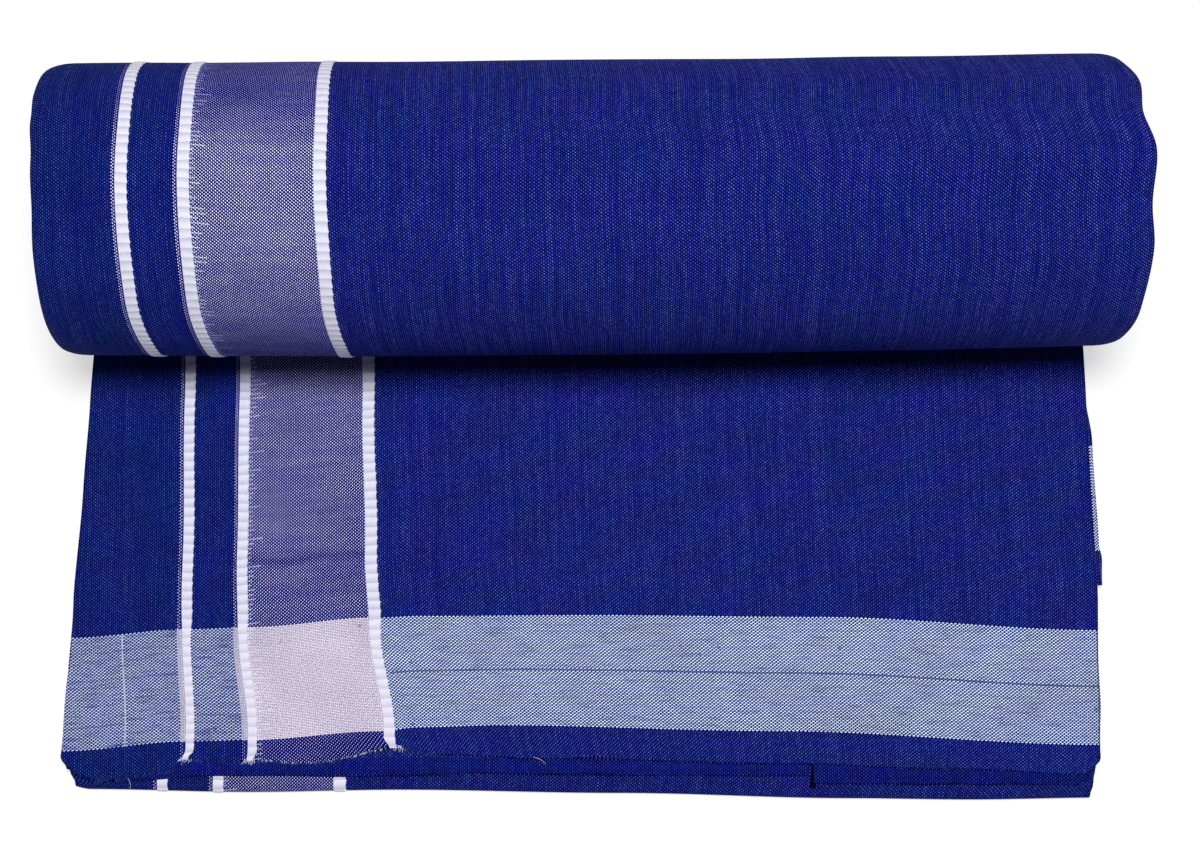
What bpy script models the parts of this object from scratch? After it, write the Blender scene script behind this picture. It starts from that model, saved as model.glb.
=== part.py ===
"""A dhoti cloth, folded into a long pack and rolled, with its near end left flat.

The cloth is cut 4.11 m long and 1.27 m wide. It is folded twice across its width and twice along
its length, so the pack is 16 layers thick, about 0.32 m wide and 1.03 m long. Its near end lies
flat and shows the edges of the layers; the rest is rolled towards it, and the roll lies on the
flat stretch. X runs along the roll, Y away from the flat end, Z up, and the origin is at the
middle of the underside.

Sizes are in millimetres here and become metres where points are made.
"""

import math
from collections import namedtuple

import bmesh
import bpy

MM = 0.001

# Walls: one folded stack of four layers is one wall.
SEAM = 0.3
FOLD_WALL = 1.25
FOLD_HEIGHT = 2 * FOLD_WALL + SEAM
INNER_WALL = 1.0
SECOND_WALL = 1.0
TOP_WALL = 1.1
FLAT_HEIGHT = FOLD_HEIGHT + INNER_WALL + SECOND_WALL + TOP_WALL + 3 * SEAM
LAYER_RISE = INNER_WALL + SEAM

# The woven cords of the border stand up from the cloth.
CORD_RAISE = 0.4
CORD_SHOULDER = 0.7
CORD_WIDTHS = (3.8, 3.8, 4.4)

# The roll.
ROLL_RADIUS = 49.9
TURN_PITCH = 8.4
ROLL_SQUASH = 0.95
ROLL_SAG = 1.5
ROLL_AXIS_Y = 62.4
ROLL_YAW = 0.0097
ROLL_BEND = 0.9
ROLL_TAPER = 0.4
BEND_SPAN = 150.0
OUTER_WALL = 1.25
WRAP_START = -14.0
WRAP_END = 337.5
CORE_END = 338.0
WRAP_POINTS = 44
CORE_POINTS = 36
EYE_LINE = 16
END_ROUND = 8.0
END_DROP = 3.0

# Rows of tables. `turn` is in degrees round the roll, from its underside over the far side.
Side = namedtuple("Side", "y left right")
Near = namedtuple("Near", "x y")
Border = namedtuple("Border", "y first second third")
RollEnd = namedtuple("RollEnd", "turn left right")
Drift = namedtuple("Drift", "turn first")
Telescope = namedtuple("Telescope", "turns left right")
Line = namedtuple("Line", "share dip")

# A place across a wall: `anchor` is left, right, slit, span or the number of a cord.
Column = namedtuple("Column", "anchor offset raised")
# A place along the folded bottom stack: its side of the fold, and how far along that it is.
FoldStep = namedtuple("FoldStep", "side share")

TOP_SIDES = (
    Side(50.0, -159.0, 158.2),
    Side(15.0, -159.9, 158.3),
    Side(-12.0, -160.6, 158.4),
    Side(-46.0, -161.6, 158.7),
    Side(-78.0, -162.6, 157.9),
    Side(-96.0, -163.0, 157.2),
    Side(-106.0, -162.4, 156.2),
)
INNER_SIDES = (
    Side(50.0, -158.0, 157.6),
    Side(14.0, -158.6, 158.6),
    Side(0.0, -159.2, 160.1),
    Side(-33.0, -160.0, 160.5),
    Side(-37.0, -160.2, 161.2),
    Side(-45.6, -160.4, 160.8),
)
SECOND_SIDES = (
    Side(50.0, -158.6, 157.4),
    Side(-60.0, -160.8, 157.6),
    Side(-104.0, -161.0, 154.6),
)
FOLD_SIDES = (
    Side(50.0, -159.2, 157.0),
    Side(-60.0, -160.8, 157.2),
    Side(-100.0, -161.2, 156.4),
    Side(-107.0, -158.6, 155.0),
    Side(-112.0, -156.0, 153.4),
)

TOP_NEAR = (
    Near(-163.0, -104.4),
    Near(-150.0, -106.5),
    Near(-131.0, -103.8),
    Near(-123.0, -100.1),
    Near(-105.0, -100.5),
    Near(-72.0, -100.1),
    Near(-60.7, -96.4),
    Near(-50.0, -98.6),
    Near(-7.0, -99.8),
    Near(61.7, -101.3),
    Near(110.0, -102.9),
    Near(158.0, -104.8),
)
SECOND_NEAR = (
    Near(-162.0, -104.6),
    Near(-139.0, -106.4),
    Near(-119.0, -104.9),
    Near(-49.0, -104.9),
    Near(-34.0, -104.0),
    Near(9.0, -104.9),
    Near(67.0, -104.9),
    Near(67.5, -107.3),
    Near(142.0, -107.6),
    Near(158.0, -107.9),
)
FOLD_NEAR = (
    Near(-162.0, -107.4),
    Near(-154.0, -108.9),
    Near(-105.0, -109.8),
    Near(-59.0, -109.1),
    Near(9.0, -110.1),
    Near(80.0, -111.7),
    Near(117.0, -112.1),
    Near(158.0, -111.5),
)
# Share of the fold's length that shows in front of the stack on it.
FOLD_REVEAL = 0.012
# Nominal places of the near edges, and marks between them and the roll.
TOP_NEAR_Y = -102.0
SECOND_NEAR_Y = -105.0
FOLD_NEAR_Y = -110.0
INNER_NEAR_Y = -45.6
FLAT_MARKS = (-98.0, -84.0, -60.0, -55.0, -50.5, -46.6, -24.0, 4.0, 30.0, 50.0)
SLIT_X = 68.0
SLIT_GAP = 1.6
SLIT_LENGTH = 30.0

TOP_BORDER = (
    Border(50.0, -128.9, -111.4, -72.0),
    Border(14.0, -127.7, -110.2, -70.7),
    Border(-36.0, -126.1, -109.1, -68.7),
    Border(-58.0, -125.8, -108.3, -67.1),
    Border(-93.0, -123.3, -104.0, -61.8),
    Border(-104.0, -123.0, -103.8, -59.0),
)
FOLD_BORDER = (
    Border(50.0, -136.0, -118.2, -79.8),
    Border(-112.0, -131.7, -114.5, -77.1),
)
ROLL_DRIFT = (
    Drift(-14.0, -136.2),
    Drift(118.0, -137.0),
    Drift(170.0, -135.6),
    Drift(232.0, -134.3),
    Drift(272.0, -132.4),
    Drift(345.0, -130.0),
)
ROLL_CORD_OFFSETS = (0.0, 18.0, 57.7)

ROLL_ENDS = (
    RollEnd(-14.0, -159.4, 157.4),
    RollEnd(60.0, -162.0, 159.5),
    RollEnd(120.0, -165.3, 161.5),
    RollEnd(142.0, -165.0, 163.6),
    RollEnd(158.0, -164.0, 162.4),
    RollEnd(176.0, -162.6, 165.2),
    RollEnd(198.0, -161.8, 163.5),
    RollEnd(216.0, -162.0, 164.7),
    RollEnd(245.0, -162.1, 163.8),
    RollEnd(272.0, -161.6, 162.4),
    RollEnd(345.0, -160.4, 160.0),
)
CORE_INSETS = (
    Telescope(0.0, 1.4, 1.4),
    Telescope(0.8, 2.6, 3.2),
    Telescope(1.6, 1.6, 4.4),
    Telescope(2.4, 3.6, 2.4),
    Telescope(3.2, 5.4, 4.6),
    Telescope(4.8, 6.8, 6.0),
)
# Lines across one turn of the pack: a deep groove between turns, a shallow one between its halves.
TURN_LINES = (Line(0.0, 2.4), Line(0.2, 0.0), Line(0.5, 1.2), Line(0.8, 0.0))

FIELD_BLUE = (0.012, 0.019, 0.19)
EDGE_BLUE = (0.009, 0.014, 0.14)
PALE_BAND_BLUE = (0.24, 0.29, 0.48)
CLOTH_ROUGHNESS = 0.85


def read_table(rows, at, column):
    """The value of a column at `at`, eased between rows, whose first column is the key."""
    keys = [row[0] for row in rows]
    values = [getattr(row, column) for row in rows]
    if keys[0] > keys[-1]:
        keys.reverse()
        values.reverse()
    if at <= keys[0]:
        return values[0]
    for low, high, start, end in zip(keys, keys[1:], values, values[1:]):
        if at <= high:
            return start + (end - start) * eased((at - low) / (high - low))
    return values[-1]


def eased(share):
    """0 to 1 with a soft start and a soft end."""
    share = min(max(share, 0.0), 1.0)
    return share * share * (3 - 2 * share)


def mixed(low, high, share):
    return low + (high - low) * share


def evenly(low, high, count):
    return [mixed(low, high, step / (count - 1)) for step in range(count)]


def cloth_material(name, colour):
    material = bpy.data.materials.new(name)
    material.use_nodes = True
    shader = material.node_tree.nodes["Principled BSDF"]
    shader.inputs["Base Color"].default_value = (*colour, 1)
    shader.inputs["Roughness"].default_value = CLOTH_ROUGHNESS
    shader.inputs["Metallic"].default_value = 0.0
    material.diffuse_color = (*colour, 1)
    return material


def add_object(name, bm, colour, collection):
    bmesh.ops.recalc_face_normals(bm, faces=bm.faces)
    if bm.calc_volume(signed=True) < 0:
        bmesh.ops.reverse_faces(bm, faces=bm.faces)
    mesh = bpy.data.meshes.new(name)
    bm.to_mesh(mesh)
    bm.free()
    mesh.shade_smooth()
    mesh.set_sharp_from_angle(angle=math.radians(40))
    mesh.materials.append(cloth_material(f"{name}_cloth", colour))
    made = bpy.data.objects.new(name, mesh)
    collection.objects.link(made)
    return made


def wall(across, along, place):
    """A closed wall over a grid of points. `place` gives the point at a place across and along
    the cloth, in millimetres, for depth 0 on its outer face and 1 on its inner one."""
    bm = bmesh.new()
    bmesh.ops.create_grid(bm, x_segments=len(across) - 1, y_segments=len(along) - 1, size=1)
    made = bmesh.ops.extrude_face_region(bm, geom=bm.faces[:], use_keep_orig=True)
    inner = {part for part in made["geom"] if isinstance(part, bmesh.types.BMVert)}
    for vertex in bm.verts:
        column = round((vertex.co.x + 1) / 2 * (len(across) - 1))
        row = round((vertex.co.y + 1) / 2 * (len(along) - 1))
        point = place(across[column], along[row], 1 if vertex in inner else 0)
        vertex.co = [value * MM for value in point]
    return bm


def edge_columns(anchor, insets):
    return [Column(anchor, inset, 0.0) for inset in insets]


def span_columns(count):
    """Evenly spread places between the last cord and the right edge."""
    return [Column("span", step / (count + 1), 0.0) for step in range(1, count + 1)]


def cord_columns():
    """Foot, top, top and foot of each raised cord."""
    columns = []
    for number, width in enumerate(CORD_WIDTHS):
        half = width / 2
        columns.append(Column(number, -half - CORD_SHOULDER, 0.0))
        columns.append(Column(number, -half, CORD_RAISE))
        columns.append(Column(number, half, CORD_RAISE))
        columns.append(Column(number, half + CORD_SHOULDER, 0.0))
    return columns


def column_x(column, left, right, cords=(0.0, 0.0, 0.0)):
    if column.anchor == "left":
        return left + column.offset
    if column.anchor == "right":
        return right - column.offset
    if column.anchor == "span":
        return mixed(cords[-1] + CORD_WIDTHS[-1], right, column.offset)
    return cords[column.anchor] + column.offset


def border_at(rows, y):
    return [read_table(rows, y, name) for name in ("first", "second", "third")]


def sides_at(rows, y):
    return read_table(rows, y, "left"), read_table(rows, y, "right")


# The roll.


def axis_y(x):
    """The roll lies slightly askew, and bends away at both ends."""
    return ROLL_AXIS_Y + ROLL_YAW * x + ROLL_BEND * (x / BEND_SPAN) ** 2


def roll_end(turn, side):
    return read_table(ROLL_ENDS, turn, side)


def end_drop(x, turn):
    """How far the roll's outline rounds in at a point near an end."""
    inset = min(x - roll_end(turn, "left"), roll_end(turn, "right") - x)
    share = 1 - min(max(inset, 0.0), END_ROUND) / END_ROUND
    return END_DROP * (1 - math.sqrt(1 - share * share))


def roll_point(x, turn, depth):
    """A point `depth` inwards from the outer face of the roll's outermost turn."""
    radius = ROLL_RADIUS - TURN_PITCH * turn / 360 - ROLL_TAPER * (x / BEND_SPAN) ** 2 - depth
    radius -= end_drop(x, turn) * radius / ROLL_RADIUS
    angle = math.radians(turn)
    height = ROLL_SQUASH * (ROLL_RADIUS - radius * math.cos(angle)) - ROLL_SAG
    wall_depth = OUTER_WALL + SEAM
    if turn > 180:
        floor = FLAT_HEIGHT + SEAM + depth
    elif depth <= wall_depth:
        floor = depth
    else:
        packed = (FLAT_HEIGHT + SEAM - wall_depth) / (TURN_PITCH - wall_depth)
        floor = wall_depth + (depth - wall_depth) * packed
    return x, axis_y(x) + radius * math.sin(angle), max(height, floor)


def join_y(x):
    """Where the flat stretch ends under the roll and the outermost turn begins."""
    start = ROLL_RADIUS - TURN_PITCH * WRAP_START / 360
    return axis_y(x) + start * math.sin(math.radians(WRAP_START)) - SEAM


def build_roll_outer_turn(collection):
    insets = (0.0, 1.2, 3.6, END_ROUND)
    across = edge_columns("left", insets) + cord_columns()
    across += span_columns(3) + edge_columns("right", insets[::-1])

    def place(column, turn, face):
        first = read_table(ROLL_DRIFT, turn, "first")
        cords = [first + offset for offset in ROLL_CORD_OFFSETS]
        x = column_x(column, roll_end(turn, "left"), roll_end(turn, "right"), cords)
        rests = turn < 30
        raised = 0.0 if face or rests else column.raised
        return roll_point(x, turn, OUTER_WALL * face - raised)

    bm = wall(across, evenly(WRAP_START, WRAP_END, WRAP_POINTS), place)
    return add_object("roll_outer_turn", bm, FIELD_BLUE, collection)


def line_depth(line):
    turns, step = divmod(line, len(TURN_LINES))
    return TURN_PITCH * (turns + TURN_LINES[step].share)


def core_point(side, turn, line):
    """A point of the layered end of the roll, on one line of its winding."""
    windings = turn / 360 + line_depth(line) / TURN_PITCH
    inset = read_table(CORE_INSETS, windings, side) + TURN_LINES[line % len(TURN_LINES)].dip
    x = roll_end(turn, side) + (inset if side == "left" else -inset)
    return roll_point(x, turn, line_depth(line))


def build_roll_turns(collection):
    """The turns inside, as one solid: its ends follow the winding, a groove between the turns,
    and an open eye runs through it."""
    bm = bmesh.new()
    turns = evenly(WRAP_START, CORE_END, CORE_POINTS)
    per_turn = len(TURN_LINES)
    last = len(turns) - 1

    ends = {}
    for side in ("left", "right"):
        for step, turn in enumerate(turns):
            first_line = 0 if step == last else 1
            for line in range(first_line, EYE_LINE + 1):
                point = core_point(side, turn, line)
                ends[side, step, line] = bm.verts.new([value * MM for value in point])
        for step in range(last):
            for line in range(1, EYE_LINE):
                corners = ((step, line), (step + 1, line), (step + 1, line + 1), (step, line + 1))
                bm.faces.new([ends[side, *corner] for corner in corners])
        for line in range(EYE_LINE - per_turn):
            corners = (
                (last, line),
                (0, line + per_turn),
                (0, line + per_turn + 1),
                (last, line + 1),
            )
            bm.faces.new([ends[side, *corner] for corner in corners])

    rim = [(step, 1) for step in range(last + 1)] + [(last, 0)]
    rim += [(0, line) for line in range(per_turn, 1, -1)]
    eye = [(step, EYE_LINE) for step in range(last + 1)]
    eye += [(last, line) for line in range(EYE_LINE - 1, EYE_LINE - per_turn - 1, -1)]

    def rim_ring(share):
        """The outline of the solid at a place between its ends."""
        ring = []
        for step, line in rim:
            left = roll_end(turns[step], "left") + END_ROUND
            right = roll_end(turns[step], "right") - END_ROUND
            point = roll_point(mixed(left, right, share), turns[step], line_depth(line))
            ring.append(bm.verts.new([value * MM for value in point]))
        return ring

    rings = [[ends["left", *spot] for spot in rim], rim_ring(0), rim_ring(0.5), rim_ring(1)]
    rings.append([ends["right", *spot] for spot in rim])
    eyes = [[ends[side, *spot] for spot in eye] for side in ("left", "right")]
    for near, far in (*zip(rings, rings[1:]), eyes):
        for index in range(len(near)):
            bm.faces.new((near[index - 1], near[index], far[index], far[index - 1]))
    return add_object("roll_turns", bm, EDGE_BLUE, collection)


# The flat stretch.


def layer_height(y):
    """How much higher the layers above the inner cut end lie, which stops short of the others."""
    return LAYER_RISE * eased((y - INNER_NEAR_Y + 14.0) / 13.0)


def flat_rows(near_y):
    """Shares along a flat wall, from its near edge to the roll, closer at the edge and the rise."""
    marks = [mark for mark in FLAT_MARKS if mark > near_y + 1]
    return [0.0] + [(mark - near_y) / (FLAT_MARKS[-1] - near_y) for mark in marks]


def flat_place(column, share, near_y, sides, near_edge, border=None):
    """X and Y of a place on a flat wall, whose near edge is cut or folded a little unevenly."""
    nominal = mixed(near_y, FLAT_MARKS[-1], share)
    cords = border_at(border, nominal) if border else (0.0, 0.0, 0.0)
    x = column_x(column, *sides_at(sides, nominal), cords)
    return x, mixed(near_edge(x), join_y(x), share)


def build_under_layer(collection):
    """The lowest stack, folded over at the near end, with the open ends of both runs far away."""
    across = edge_columns("left", (0.0, 5.0)) + cord_columns()
    across += span_columns(4) + edge_columns("right", (5.0, 0.0))
    shares = flat_rows(FOLD_NEAR_Y)
    along = [FoldStep("below", share) for share in shares[:0:-2]]
    along += [FoldStep("nose", share) for share in evenly(0, 1, 7)]
    along += [FoldStep("above", share) for share in (FOLD_REVEAL, *shares[2::2])]
    middle = FOLD_HEIGHT / 2

    def near_edge(x):
        return read_table(FOLD_NEAR, x, "y") + middle

    def place(column, step, face):
        share = 0.0 if step.side == "nose" else step.share
        x, y = flat_place(column, share, FOLD_NEAR_Y, FOLD_SIDES, near_edge, FOLD_BORDER)
        reach = middle - FOLD_WALL * face
        if step.side == "below":
            return x, y, middle - reach
        if step.side == "above":
            return x, y, middle + reach
        turn = math.pi * step.share
        if not face:
            reach += column.raised * eased(step.share * 2 - 1)
        return x, y - reach * math.sin(turn), middle - reach * math.cos(turn)

    return add_object("under_layer", wall(across, along, place), FIELD_BLUE, collection)


def build_inner_cut_end(collection):
    """A stack whose cut end stops short of the others and shows only at the right edge."""
    across = edge_columns("left", (0.0,)) + span_columns(3) + edge_columns("right", (0.0,))

    def place(column, share, face):
        x, y = flat_place(column, share, INNER_NEAR_Y, INNER_SIDES, lambda _: INNER_NEAR_Y)
        return x, y, FOLD_HEIGHT + SEAM + INNER_WALL * (1 - face)

    bm = wall(across, flat_rows(INNER_NEAR_Y), place)
    return add_object("inner_cut_end", bm, PALE_BAND_BLUE, collection)


def build_second_layer(name, at_left, collection):
    """One of the two pieces of the second stack, on one side of the slit between them."""
    left_columns = edge_columns("left", (0.0, 22.0, 42.0, 112.0, 128.0, 170.0))
    slit_column = [Column("slit", 0.0, 0.0)]
    right_columns = edge_columns("right", (70.0, 35.0, 0.0))
    across = left_columns + slit_column if at_left else slit_column + right_columns

    def near_edge(x):
        return read_table(SECOND_NEAR, x, "y")

    def place(column, share, face):
        if column.anchor == "slit":
            nominal = mixed(SECOND_NEAR_Y, FLAT_MARKS[-1], share)
            gap = mixed(SLIT_GAP, SEAM, eased((nominal - SECOND_NEAR_Y) / SLIT_LENGTH))
            x = SLIT_X - gap / 2 if at_left else SLIT_X + gap / 2
            y = mixed(near_edge(SLIT_X - 2 if at_left else SLIT_X + 2), join_y(x), share)
        else:
            x, y = flat_place(column, share, SECOND_NEAR_Y, SECOND_SIDES, near_edge)
        height = FOLD_HEIGHT + SEAM + layer_height(y)
        return x, y, height + SECOND_WALL * (1 - face)

    bm = wall(across, flat_rows(SECOND_NEAR_Y), place)
    return add_object(name, bm, FIELD_BLUE, collection)


def build_top_layer(collection):
    across = edge_columns("left", (0.0, 12.0)) + cord_columns()
    across += span_columns(6) + edge_columns("right", (12.0, 0.0))

    def near_edge(x):
        return read_table(TOP_NEAR, x, "y")

    def place(column, share, face):
        x, y = flat_place(column, share, TOP_NEAR_Y, TOP_SIDES, near_edge, TOP_BORDER)
        raised = 0.0 if face else column.raised
        height = FOLD_HEIGHT + SECOND_WALL + 2 * SEAM + layer_height(y)
        return x, y, height + TOP_WALL * (1 - face) + raised

    bm = wall(across, flat_rows(TOP_NEAR_Y), place)
    return add_object("top_layer", bm, FIELD_BLUE, collection)


def main():
    for old in list(bpy.data.objects):
        bpy.data.objects.remove(old, do_unlink=True)
    collection = bpy.data.collections.new("dhoti_cloth")
    bpy.context.scene.collection.children.link(collection)
    build_under_layer(collection)
    build_inner_cut_end(collection)
    build_second_layer("second_layer_left", True, collection)
    build_second_layer("second_layer_right", False, collection)
    build_top_layer(collection)
    build_roll_turns(collection)
    build_roll_outer_turn(collection)


main()
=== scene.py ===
"""A dhoti cloth, folded into a long pack and rolled towards its near end, which lies flat.

Run as a script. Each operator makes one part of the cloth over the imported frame: the stacks of
the flat stretch, the turn round the roll, the wound pack inside it, the woven cords of the border,
the threads at the cut ends, and the stage. Places are worked out in millimetres.
"""

import math
import random
from collections import namedtuple
from functools import partialmethod

import bmesh
import bpy
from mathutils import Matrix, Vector, noise


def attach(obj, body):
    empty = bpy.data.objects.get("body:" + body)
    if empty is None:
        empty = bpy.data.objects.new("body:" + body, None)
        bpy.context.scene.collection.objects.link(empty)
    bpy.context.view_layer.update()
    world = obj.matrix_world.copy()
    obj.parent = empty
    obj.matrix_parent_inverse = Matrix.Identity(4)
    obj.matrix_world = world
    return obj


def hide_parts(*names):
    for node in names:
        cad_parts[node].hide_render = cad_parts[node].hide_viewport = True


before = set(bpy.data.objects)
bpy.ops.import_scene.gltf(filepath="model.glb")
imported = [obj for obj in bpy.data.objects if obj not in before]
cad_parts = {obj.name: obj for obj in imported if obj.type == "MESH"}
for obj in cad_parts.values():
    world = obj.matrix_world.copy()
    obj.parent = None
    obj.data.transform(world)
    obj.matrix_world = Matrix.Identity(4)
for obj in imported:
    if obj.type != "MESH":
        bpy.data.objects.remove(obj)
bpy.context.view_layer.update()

bl_info = {
    "name": "Rolled dhoti cloth",
    "version": (1, 0, 0),
    "blender": (4, 5, 0),
    "location": "View3D > Sidebar > Dhoti",
    "description": "Lays out a folded and rolled dhoti cloth, piece by piece",
    "category": "Object",
}

MM = 0.001

# Walls: one folded stack of four layers is one wall.
SEAM = 0.3
FOLD_WALL = 1.25
FOLD_HEIGHT = 2 * FOLD_WALL + SEAM
FOLD_NOSE = math.pi * FOLD_HEIGHT / 2
INNER_WALL = 1.0
SECOND_WALL = 1.0
TOP_WALL = 1.1
FLAT_HEIGHT = FOLD_HEIGHT + INNER_WALL + SECOND_WALL + TOP_WALL + 3 * SEAM
LAYER_RISE = INNER_WALL + SEAM

# The roll.
ROLL_RADIUS = 49.9
TURN_PITCH = 8.4
TURN_GAP = 0.12
ROLL_SQUASH = 0.95
ROLL_SAG = 1.5
ROLL_AXIS_Y = 62.4
ROLL_YAW = 0.0097
ROLL_BEND = 0.9
ROLL_TAPER = 0.4
BEND_SPAN = 150.0
OUTER_WALL = 1.25
WRAP_START = -14.0
WRAP_END = 337.5
CORE_WINDINGS = 4
CORE_END = 338.0
END_ROUND = 8.0
CORNER_ROUND = 5.0
END_DROP = 3.0

# Edges and lines of the flat stretch. Rows of tables start with the place that they are read by.
TOP_SIDES = (
    (-106.0, -162.4, 156.2), (-96.0, -163.0, 157.2), (-78.0, -162.6, 157.9),
    (-46.0, -161.6, 158.7), (-12.0, -160.6, 158.4), (15.0, -159.9, 158.3), (50.0, -159.0, 158.2),
)
INNER_SIDES = (
    (-45.6, -160.4, 160.8), (-37.0, -160.2, 161.2), (-33.0, -160.0, 160.5), (0.0, -159.2, 160.1),
    (14.0, -158.6, 158.6), (50.0, -158.0, 157.6),
)
SECOND_SIDES = ((-104.0, -162.0, 154.6), (-60.0, -160.8, 157.6), (50.0, -158.6, 157.4))
FOLD_SIDES = (
    (-112.0, -157.8, 153.4),
    (-107.0, -160.6, 155.0),
    (-100.0, -162.2, 156.4),
    (-60.0, -160.8, 157.2),
    (50.0, -159.2, 157.0),
)
TOP_NEAR = (
    (-163.0, -104.4), (-150.0, -106.5), (-131.0, -103.8), (-123.0, -100.1), (-105.0, -100.5),
    (-99.5, -100.5), (-91.3, -101.2), (-82.0, -100.8), (-73.0, -99.2), (-66.7, -97.6),
    (-60.7, -96.4), (-50.0, -98.6), (-7.0, -99.8), (61.7, -101.3), (110.0, -102.9),
    (158.0, -104.8),
)
SECOND_NEAR = (
    (-162.0, -104.6), (-139.0, -106.4), (-119.0, -104.9), (-49.0, -104.9), (-34.0, -104.0),
    (9.0, -104.9), (67.0, -104.9), (67.5, -107.3), (142.0, -107.6), (158.0, -107.9),
)
FOLD_NEAR = (
    (-162.0, -107.4), (-154.0, -108.9), (-105.0, -109.8), (-59.0, -109.1), (9.0, -110.1),
    (80.0, -111.7), (117.0, -112.1), (158.0, -111.5),
)
BAND_NEAR_LINE = (
    (-162.6, -97.8), (-125.0, -94.8), (-105.0, -94.3), (-65.0, -91.6), (-52.5, -90.4),
    (-28.0, -89.8), (58.5, -91.6), (156.0, -95.8),
)
BAND_FAR_LINE = (
    (-161.5, -62.5), (-126.0, -59.8), (-106.0, -59.2), (-67.0, -56.2), (-53.0, -55.7),
    (3.0, -55.4), (72.0, -56.0), (159.0, -60.1),
)
TOP_NEAR_Y = -102.0
SECOND_NEAR_Y = -105.0
FOLD_NEAR_Y = -110.0
INNER_NEAR_Y = -45.6
INNER_BAND_NEAR_Y = -34.8
INNER_BAND_LENGTH = 34.4
JOIN_Y = 50.0
SLIT_X = 68.0
SLIT_GAP = 1.6
SLIT_LENGTH = 30.0

# The border's three cords, as woven: their places across the cloth from the first one.
CORDS = (0.0, 18.0, 57.7)
CORD_WIDTHS = (3.8, 3.8, 4.4)
# How far a cord's cut end leans to the right, how slim it runs through the band, and how far its
# right side reaches on the top cloth, round the roll and on the fold.
CORD_END_LEANS = (-1.5, -0.8, 0.5)
CORD_BAND_SHARES = (0.78, 0.86, 0.9)
TOP_CORD_REACH = 0.86
ROLL_CORD_REACHES = (0.98, 0.98, 0.8)
FOLD_CORD_REACH = 0.9
TOP_BORDER = (
    (-104.0, -123.0, -103.8, -59.0),
    (-93.0, -123.3, -104.0, -61.8),
    (-58.0, -125.8, -108.3, -67.1),
    (-36.0, -126.1, -109.1, -68.7),
    (14.0, -127.7, -110.2, -70.7),
    (50.0, -128.9, -111.4, -72.0),
)
FOLD_BORDER = ((-112.0, -131.7, -114.5, -77.1), (50.0, -136.0, -118.2, -79.8))
ROLL_DRIFT = (
    (-14.0, -136.2), (118.0, -137.0), (170.0, -135.6), (232.0, -134.3), (272.0, -132.4),
    (345.0, -130.0),
)
ROLL_ENDS = (
    (-14.0, -159.4, 157.4), (60.0, -162.0, 159.5), (120.0, -165.3, 161.5), (142.0, -165.0, 163.6),
    (158.0, -164.0, 162.4), (176.0, -162.6, 165.2), (198.0, -161.8, 163.5), (216.0, -162.0, 164.7),
    (245.0, -162.1, 163.8), (272.0, -161.6, 162.4), (345.0, -160.4, 160.0),
)
CORE_INSETS = (
    (0.0, 1.4, 1.4), (0.8, 2.6, 3.2), (1.6, 1.6, 4.4), (2.4, 3.6, 2.4), (3.2, 5.4, 4.6),
    (4.8, 6.8, 6.0),
)

# Places in the weave, in millimetres of thread: across from the first cord, and along from the
# band's near edge. The cloth is laid out there stack by stack, then the roll and the fold.
DOT_COLUMNS = 2.5
MARGIN_END = 16.0
MARGIN_LINE = (-20.6, -19.9)
DARK_PICK = (18.0, 18.5)
CUT_END = (-60.0, 0.0)
SECOND_CUT_END = (-60.0, -10.5)
# Below this along the weave, the lower stacks get painted shade.
LOWER_STACKS = -14.0
IN_BAND = 30.0
LOW_STRIPE = (66.0, 50.0)
SUNK_ROW = 58.4
PLAIN_STRETCH = 240.0
ROLL_WOVEN = 200.0
ROLL_FROM = 150.0
# Where painted shade on the white warps ramps in, down the roll's far and near sides.
ROLL_FAR_SIDE = (338.0, 318.0)
ROLL_NEAR_SIDE = (365.0, 410.0)
FOLD_WOVEN = -200.0
# Where the slit's painted shadow lies on the lowest stack, across and along.
SLIT_ACROSS = (203.6, 205.5)
SLIT_ALONG = (-196.4, -186.0)
HIDDEN_LAYER_SHIFT = 400.0
# The cords are pinkish where they cross the band, in metres along Y.
CORD_PINK_Y = (-0.094, -0.0575)
# How far the twist of the yarn sets each float askew, and the relief of the threads in metres.
TWIST = 0.3
THREAD_RELIEF = 0.0002
# Dyes to multiply a blue by: in the margin, between the cords, and in patches of the field.
MARGIN_DYE = (0.9, 1.3, 0.82)
BETWEEN_CORDS_DYE = (0.92, 1.25, 0.92)
REDDER = (1.15, 0.92, 1.04)
GREENER = (0.85, 1.12, 0.96)

# Where the layers of a stack of four part, through its wall: at the left there are two selvedges
# and a fold, at the right one fold round all of them, and at a cut end four raw edges.
SELVEDGE_SIDE = (0.0, 0.25, 0.5, 1.0)
FOLDED_SIDE = (0.0, 1.0)
CUT_SIDE = (0.0, 0.25, 0.5, 0.75, 1.0)
RIM_ROWS = 16

Spot = namedtuple("Spot", "x y z")


def eased(share):
    """0 to 1 with a soft start and a soft end."""
    share = min(max(share, 0.0), 1.0)
    return share * share * (3 - 2 * share)


def mixed(low, high, share):
    return low + (high - low) * share


def evenly(low, high, count):
    return [mixed(low, high, step / (count - 1)) for step in range(count)]


def read_table(rows, at, column=1):
    """The value of a column at `at`, eased between rows."""
    if at <= rows[0][0]:
        return rows[0][column]
    for low, high in zip(rows, rows[1:]):
        if at <= high[0]:
            return mixed(low[column], high[column], eased((at - low[0]) / (high[0] - low[0])))
    return rows[-1][column]


def laid(woven, marks, places):
    """Where a woven place lies, stretched evenly between marks that lie at known places."""
    last = len(marks) - 2
    index = 0
    while index < last and woven > marks[index + 1]:
        index += 1
    share = (woven - marks[index]) / (marks[index + 1] - marks[index])
    return mixed(places[index], places[index + 1], share)


def woven_size(name):
    """A size of the weave in millimetres."""
    return getattr(bpy.context.scene.dhoti_weave, name) / MM


def sides_at(sides, at):
    """Where both sides of a stretch lie at a place along it."""
    return read_table(sides, at, 1), read_table(sides, at, 2)


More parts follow.
